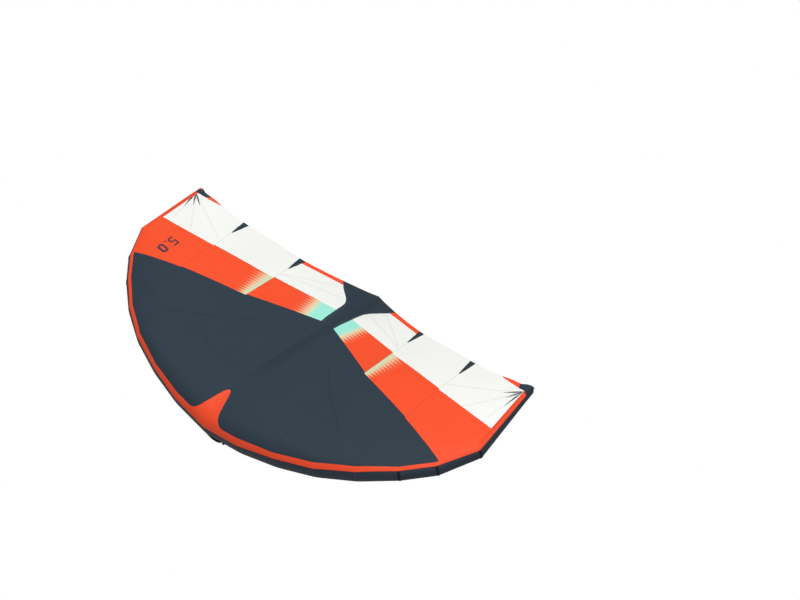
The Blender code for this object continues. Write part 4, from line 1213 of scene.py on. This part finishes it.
def make_tip_flaps():
    """Dark cloth that carries each tip patch over the top of the cap."""
    xs, zs = zip(*((float(p[0]), float(p[2])) for p in (canopy(u, 1) for u in (7.0, 7.5, 8.0))))
    crest = on_tube(LAST, math.pi / 2)
    middle, along = centres[LAST], frames[LAST][2]
    for name, side, outer, area in (("left", -1, 1.608, 0.0021), ("right", 1, 1.654, 0.0052)):
        bm = bmesh.new()

        def place(a, b, side=side, outer=outer):
            """On the cloth inside the tube's crest and on the cap outside it, drooping past the end."""
            x = FLAP_INNER + (outer - FLAP_INNER) * a
            back = FLAP_BACK + FLAP_REACH * (x - FLAP_INNER) / (FLAP_OUTER - FLAP_INNER)
            y = FLAP_FRONT + (back - FLAP_FRONT) * b
            y += FLAP_CORNER * (1 - a) * (1 - b)
            axis = middle + along * (y - middle[1]) / along[1]
            if x < crest[0]:
                height = np.interp(x, xs + (float(crest[0]),), zs + (float(crest[2]),))
                height += (y - FLAP_LEVEL) * FLAP_SLOPE
            else:
                off = x - axis[0]
                height = axis[2] + math.sqrt(max(radii[LAST] ** 2 - off * off, 1e-6)) / along[1]
            past = max(y - middle[1] - 0.006, 0)
            height += FLAP_LIFT - FLAP_DROOP * past * past
            return np.array((x * side, y, height)), (x, y)

        surface(bm, 22, 22, place)
        bmesh.ops.recalc_face_normals(bm, faces=bm.faces)
        face_out(bm, (0, 0, 1))
        made = made_of(f"tip_flap_{name}", bm, dark_cloth)
        solid(made, 0.0009)
        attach(made, "wing")


def make_loop(name, a, b, depth, gone, growth=0.5):
    """A padded grip that hangs between its two sewn ends. Its ends are narrow, to swing clear."""
    down = np.array((0, 0, -1.0))
    x = unit(b - a)
    z = unit(down - x * (down @ x))
    y = np.cross(z, x)
    half = np.linalg.norm(b - a) / 2 - LOOP_LEAD
    radius = (half * half + depth * depth) / (2 * depth)
    swing = math.asin(half / radius)
    middle = (a + b) / 2
    bowed, boxiness = 0.94, 0.62

    def centre(t):
        """How far along and down the grip's line is, and its lean, at t from -1 to 1."""
        if abs(t) > bowed:
            beyond = (abs(t) - bowed) / 0.06
            return math.copysign(half + LOOP_LEAD * beyond, t), 0.0, 0.0
        turn = swing * t / bowed
        return radius * math.sin(turn), radius * math.cos(turn) - (radius - depth), turn

    def place(p, q):
        t = (p - 0.5) * 2
        along, drop, lean = centre(t)
        full = min(max((0.86 - abs(t)) / 0.24, 0), 1)
        full = full * full * (3 - 2 * full)
        wide = LOOP_END_HALF + (LOOP_MIDDLE_HALF - LOOP_END_HALF) * full
        wide = min(wide, LOOP_TIP_HALF + growth * drop)
        thick = 0.0030 + 0.0045 * full
        turn = q * 2 * math.pi
        c, s = math.cos(turn), math.sin(turn)
        sideways = wide * math.copysign(abs(c) ** boxiness, c)
        outwards = thick * math.copysign(abs(s) ** boxiness, s)
        normal = z * math.cos(lean) + x * math.sin(lean)
        point = middle + x * along + z * drop + y * sideways + normal * outwards
        return point, (along, turn * 0.018)

    bm = bmesh.new()
    surface(bm, 72, 32, place, wrap=True)
    bmesh.ops.holes_fill(bm, edges=[e for e in bm.edges if e.is_boundary])
    bmesh.ops.recalc_face_normals(bm, faces=bm.faces)
    made = made_of(f"{name}_grip", bm, webbing)
    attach(made, gone)
    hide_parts(gone)


def loop_end(y):
    """Where a loop is sewn on below the strut."""
    height = np.interp(y, strut_backs, strut_heights)
    radius = np.interp(y, strut_backs, strut_radii)
    return np.array((0, y, height - radius - WEB_DROP))


def make_strut_handle(name, ends, depth):
    """A loop under the strut, and the webbing with its two sewn tabs that holds it."""
    a, b = (loop_end(y) for y in ends)
    make_loop(name, a, b, depth, f"{name}_handle")
    start, length = ends[0] - WEB_REACH, ends[1] - ends[0] + 2 * WEB_REACH

    def place(p, q):
        return on_strut(start + length * p, math.radians(270 + 26 * (q - 0.5)), WALL)

    bm = bmesh.new()
    surface(bm, 60, 10, place)
    bmesh.ops.recalc_face_normals(bm, faces=bm.faces)
    face_out(bm, (0, 0, -1))
    for sign, end in ((-1, a), (1, b)):
        tab = bmesh.ops.create_cube(bm, size=1)["verts"]
        bmesh.ops.scale(bm, verts=tab, vec=(0.040, 0.030, 0.0125))
        bmesh.ops.translate(bm, verts=tab, vec=Vector(end + np.array((0, sign * 0.0155, 0.0035))))
    made = made_of(f"{name}_webbing", bm, webbing)
    solid(made, 0.0022)
    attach(made, "wing")
    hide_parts(f"{name}_handle_web")


def make_nose_handle():
    """The loop at the nose, and the pad with its two sewn tabs that holds it."""
    nose_out = np.array((0, -math.cos(NOSE_LOOP_TILT), math.sin(NOSE_LOOP_TILT)))
    nose_end = on_tube(NOSE_LOOP_HALF / centres[1][0], NOSE_LOOP_TILT) + nose_out * NOSE_LOOP_DROP
    make_loop("nose", nose_end * np.array((-1, 1, 1)), nose_end, 0.041, "nose_handle", 0.12)

    def place(p, q):
        turn = math.radians(-42 - 50 * q)
        half = 0.124 * (1 - 0.5 * q ** 2.2)
        x = (p - 0.5) * 2 * half
        lip = 0.0030 * min(1, 12 * min(p, 1 - p), 8 * min(q, 1 - q) + 0.15)
        point = on_tube(abs(x) / centres[1][0], turn, WALL + lip)
        return point * np.array((-1 if x < 0 else 1, 1, 1)), (x, turn * NOSE_RADIUS)

    bm = bmesh.new()
    surface(bm, 60, 24, place)
    bmesh.ops.recalc_face_normals(bm, faces=bm.faces)
    face_out(bm, nose_out)
    lean = Matrix.Rotation(math.radians(90) + NOSE_LOOP_TILT, 3, "X")
    for side in (-1, 1):
        tab = bmesh.ops.create_cube(bm, size=1)["verts"]
        bmesh.ops.scale(bm, verts=tab, vec=(0.016, 0.034, 0.0135))
        bmesh.ops.rotate(bm, verts=tab, cent=(0, 0, 0), matrix=lean)
        spot = nose_end * np.array((side, 1, 1)) + np.array((side * 0.0085, 0, 0)) - nose_out * 0.0035
        bmesh.ops.translate(bm, verts=tab, vec=Vector(spot))
    made = made_of("nose_pad_cloth", bm, pad_cloth)
    solid(made, 0.0012, -1)
    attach(made, "wing")
    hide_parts("nose_pad")


def make_floor():
    """A pale floor well below the wing, which the camera sees as white."""
    material, tree, shader = new_material("studio_floor", (0.6, 0.6, 0.6, 1), 0.9)
    light_path = add(tree, "ShaderNodeLightPath")
    glow = add(tree, "ShaderNodeEmission")
    glow.inputs["Color"].default_value = (1, 1, 1, 1)
    either = add(tree, "ShaderNodeMixShader")
    tree.links.new(light_path.outputs["Is Camera Ray"], either.inputs[0])
    tree.links.new(shader.outputs[0], either.inputs[1])
    tree.links.new(glow.outputs[0], either.inputs[2])
    tree.links.new(either.outputs[0], tree.nodes["Material Output"].inputs[0])
    bm = bmesh.new()
    bmesh.ops.create_grid(bm, x_segments=1, y_segments=1, size=14)
    bmesh.ops.translate(bm, verts=bm.verts, vec=Vector((0, 0, -1.1)) - Vector(NOSE))
    floor = made_of("floor", bm, material)


def make_surround():
    """White all round to the camera, and a soft even light of a third of that to everything else."""
    world = bpy.data.worlds.new("studio")
    bpy.context.scene.world = world
    world.use_nodes = True
    sky = world.node_tree
    background = sky.nodes["Background"]
    background.inputs["Color"].default_value = (1, 1, 1, 1)
    light_path = add(sky, "ShaderNodeLightPath")
    soft = 0.34
    extra = maths(sky, "MULTIPLY", light_path.outputs["Is Camera Ray"], 1 - soft)
    sky.links.new(maths(sky, "ADD", extra, soft), background.inputs["Strength"])


def make_lamp(name, spot, size, power):
    """A square lamp that shines at the middle of the wing."""
    aim = Vector((0, 0.3, 0.1))
    data = bpy.data.lights.new(name, "AREA")
    data.shape = "SQUARE"
    data.size = size
    data.energy = power
    z = (Vector(spot) - aim).normalized()
    x = Vector((0, 0, 1)).cross(z).normalized()
    stand(bpy.data.objects.new(name, data), Vector(spot), x, z.cross(x), z)


make_camera()
make_canopy()
make_tube()
make_band()
make_centre_patch()
make_tapes()
make_strut()
make_caps()
make_tip_flaps()
make_strut_handle("front", (0.16597, 0.42091), 0.055)
make_strut_handle("rear", (0.83668, 1.12669), 0.063)
make_nose_handle()
for name, material in (
    ("valve_body", webbing),
    ("valve_cap", webbing),
    ("bladder_tube", white_cloth),
    ("bladder_strut", white_cloth),
    ("transfer_hose", webbing),
):
    nodes[name].data.materials.clear()
    nodes[name].data.materials.append(material)
make_floor()
make_surround()
make_lamp("key", (0.4, 0.3, 9.0), 5.0, 575)
make_lamp("fill", (5.0, -5.0, 4.0), 4.0, 40)

bpy.context.scene.view_settings.view_transform = "Standard"
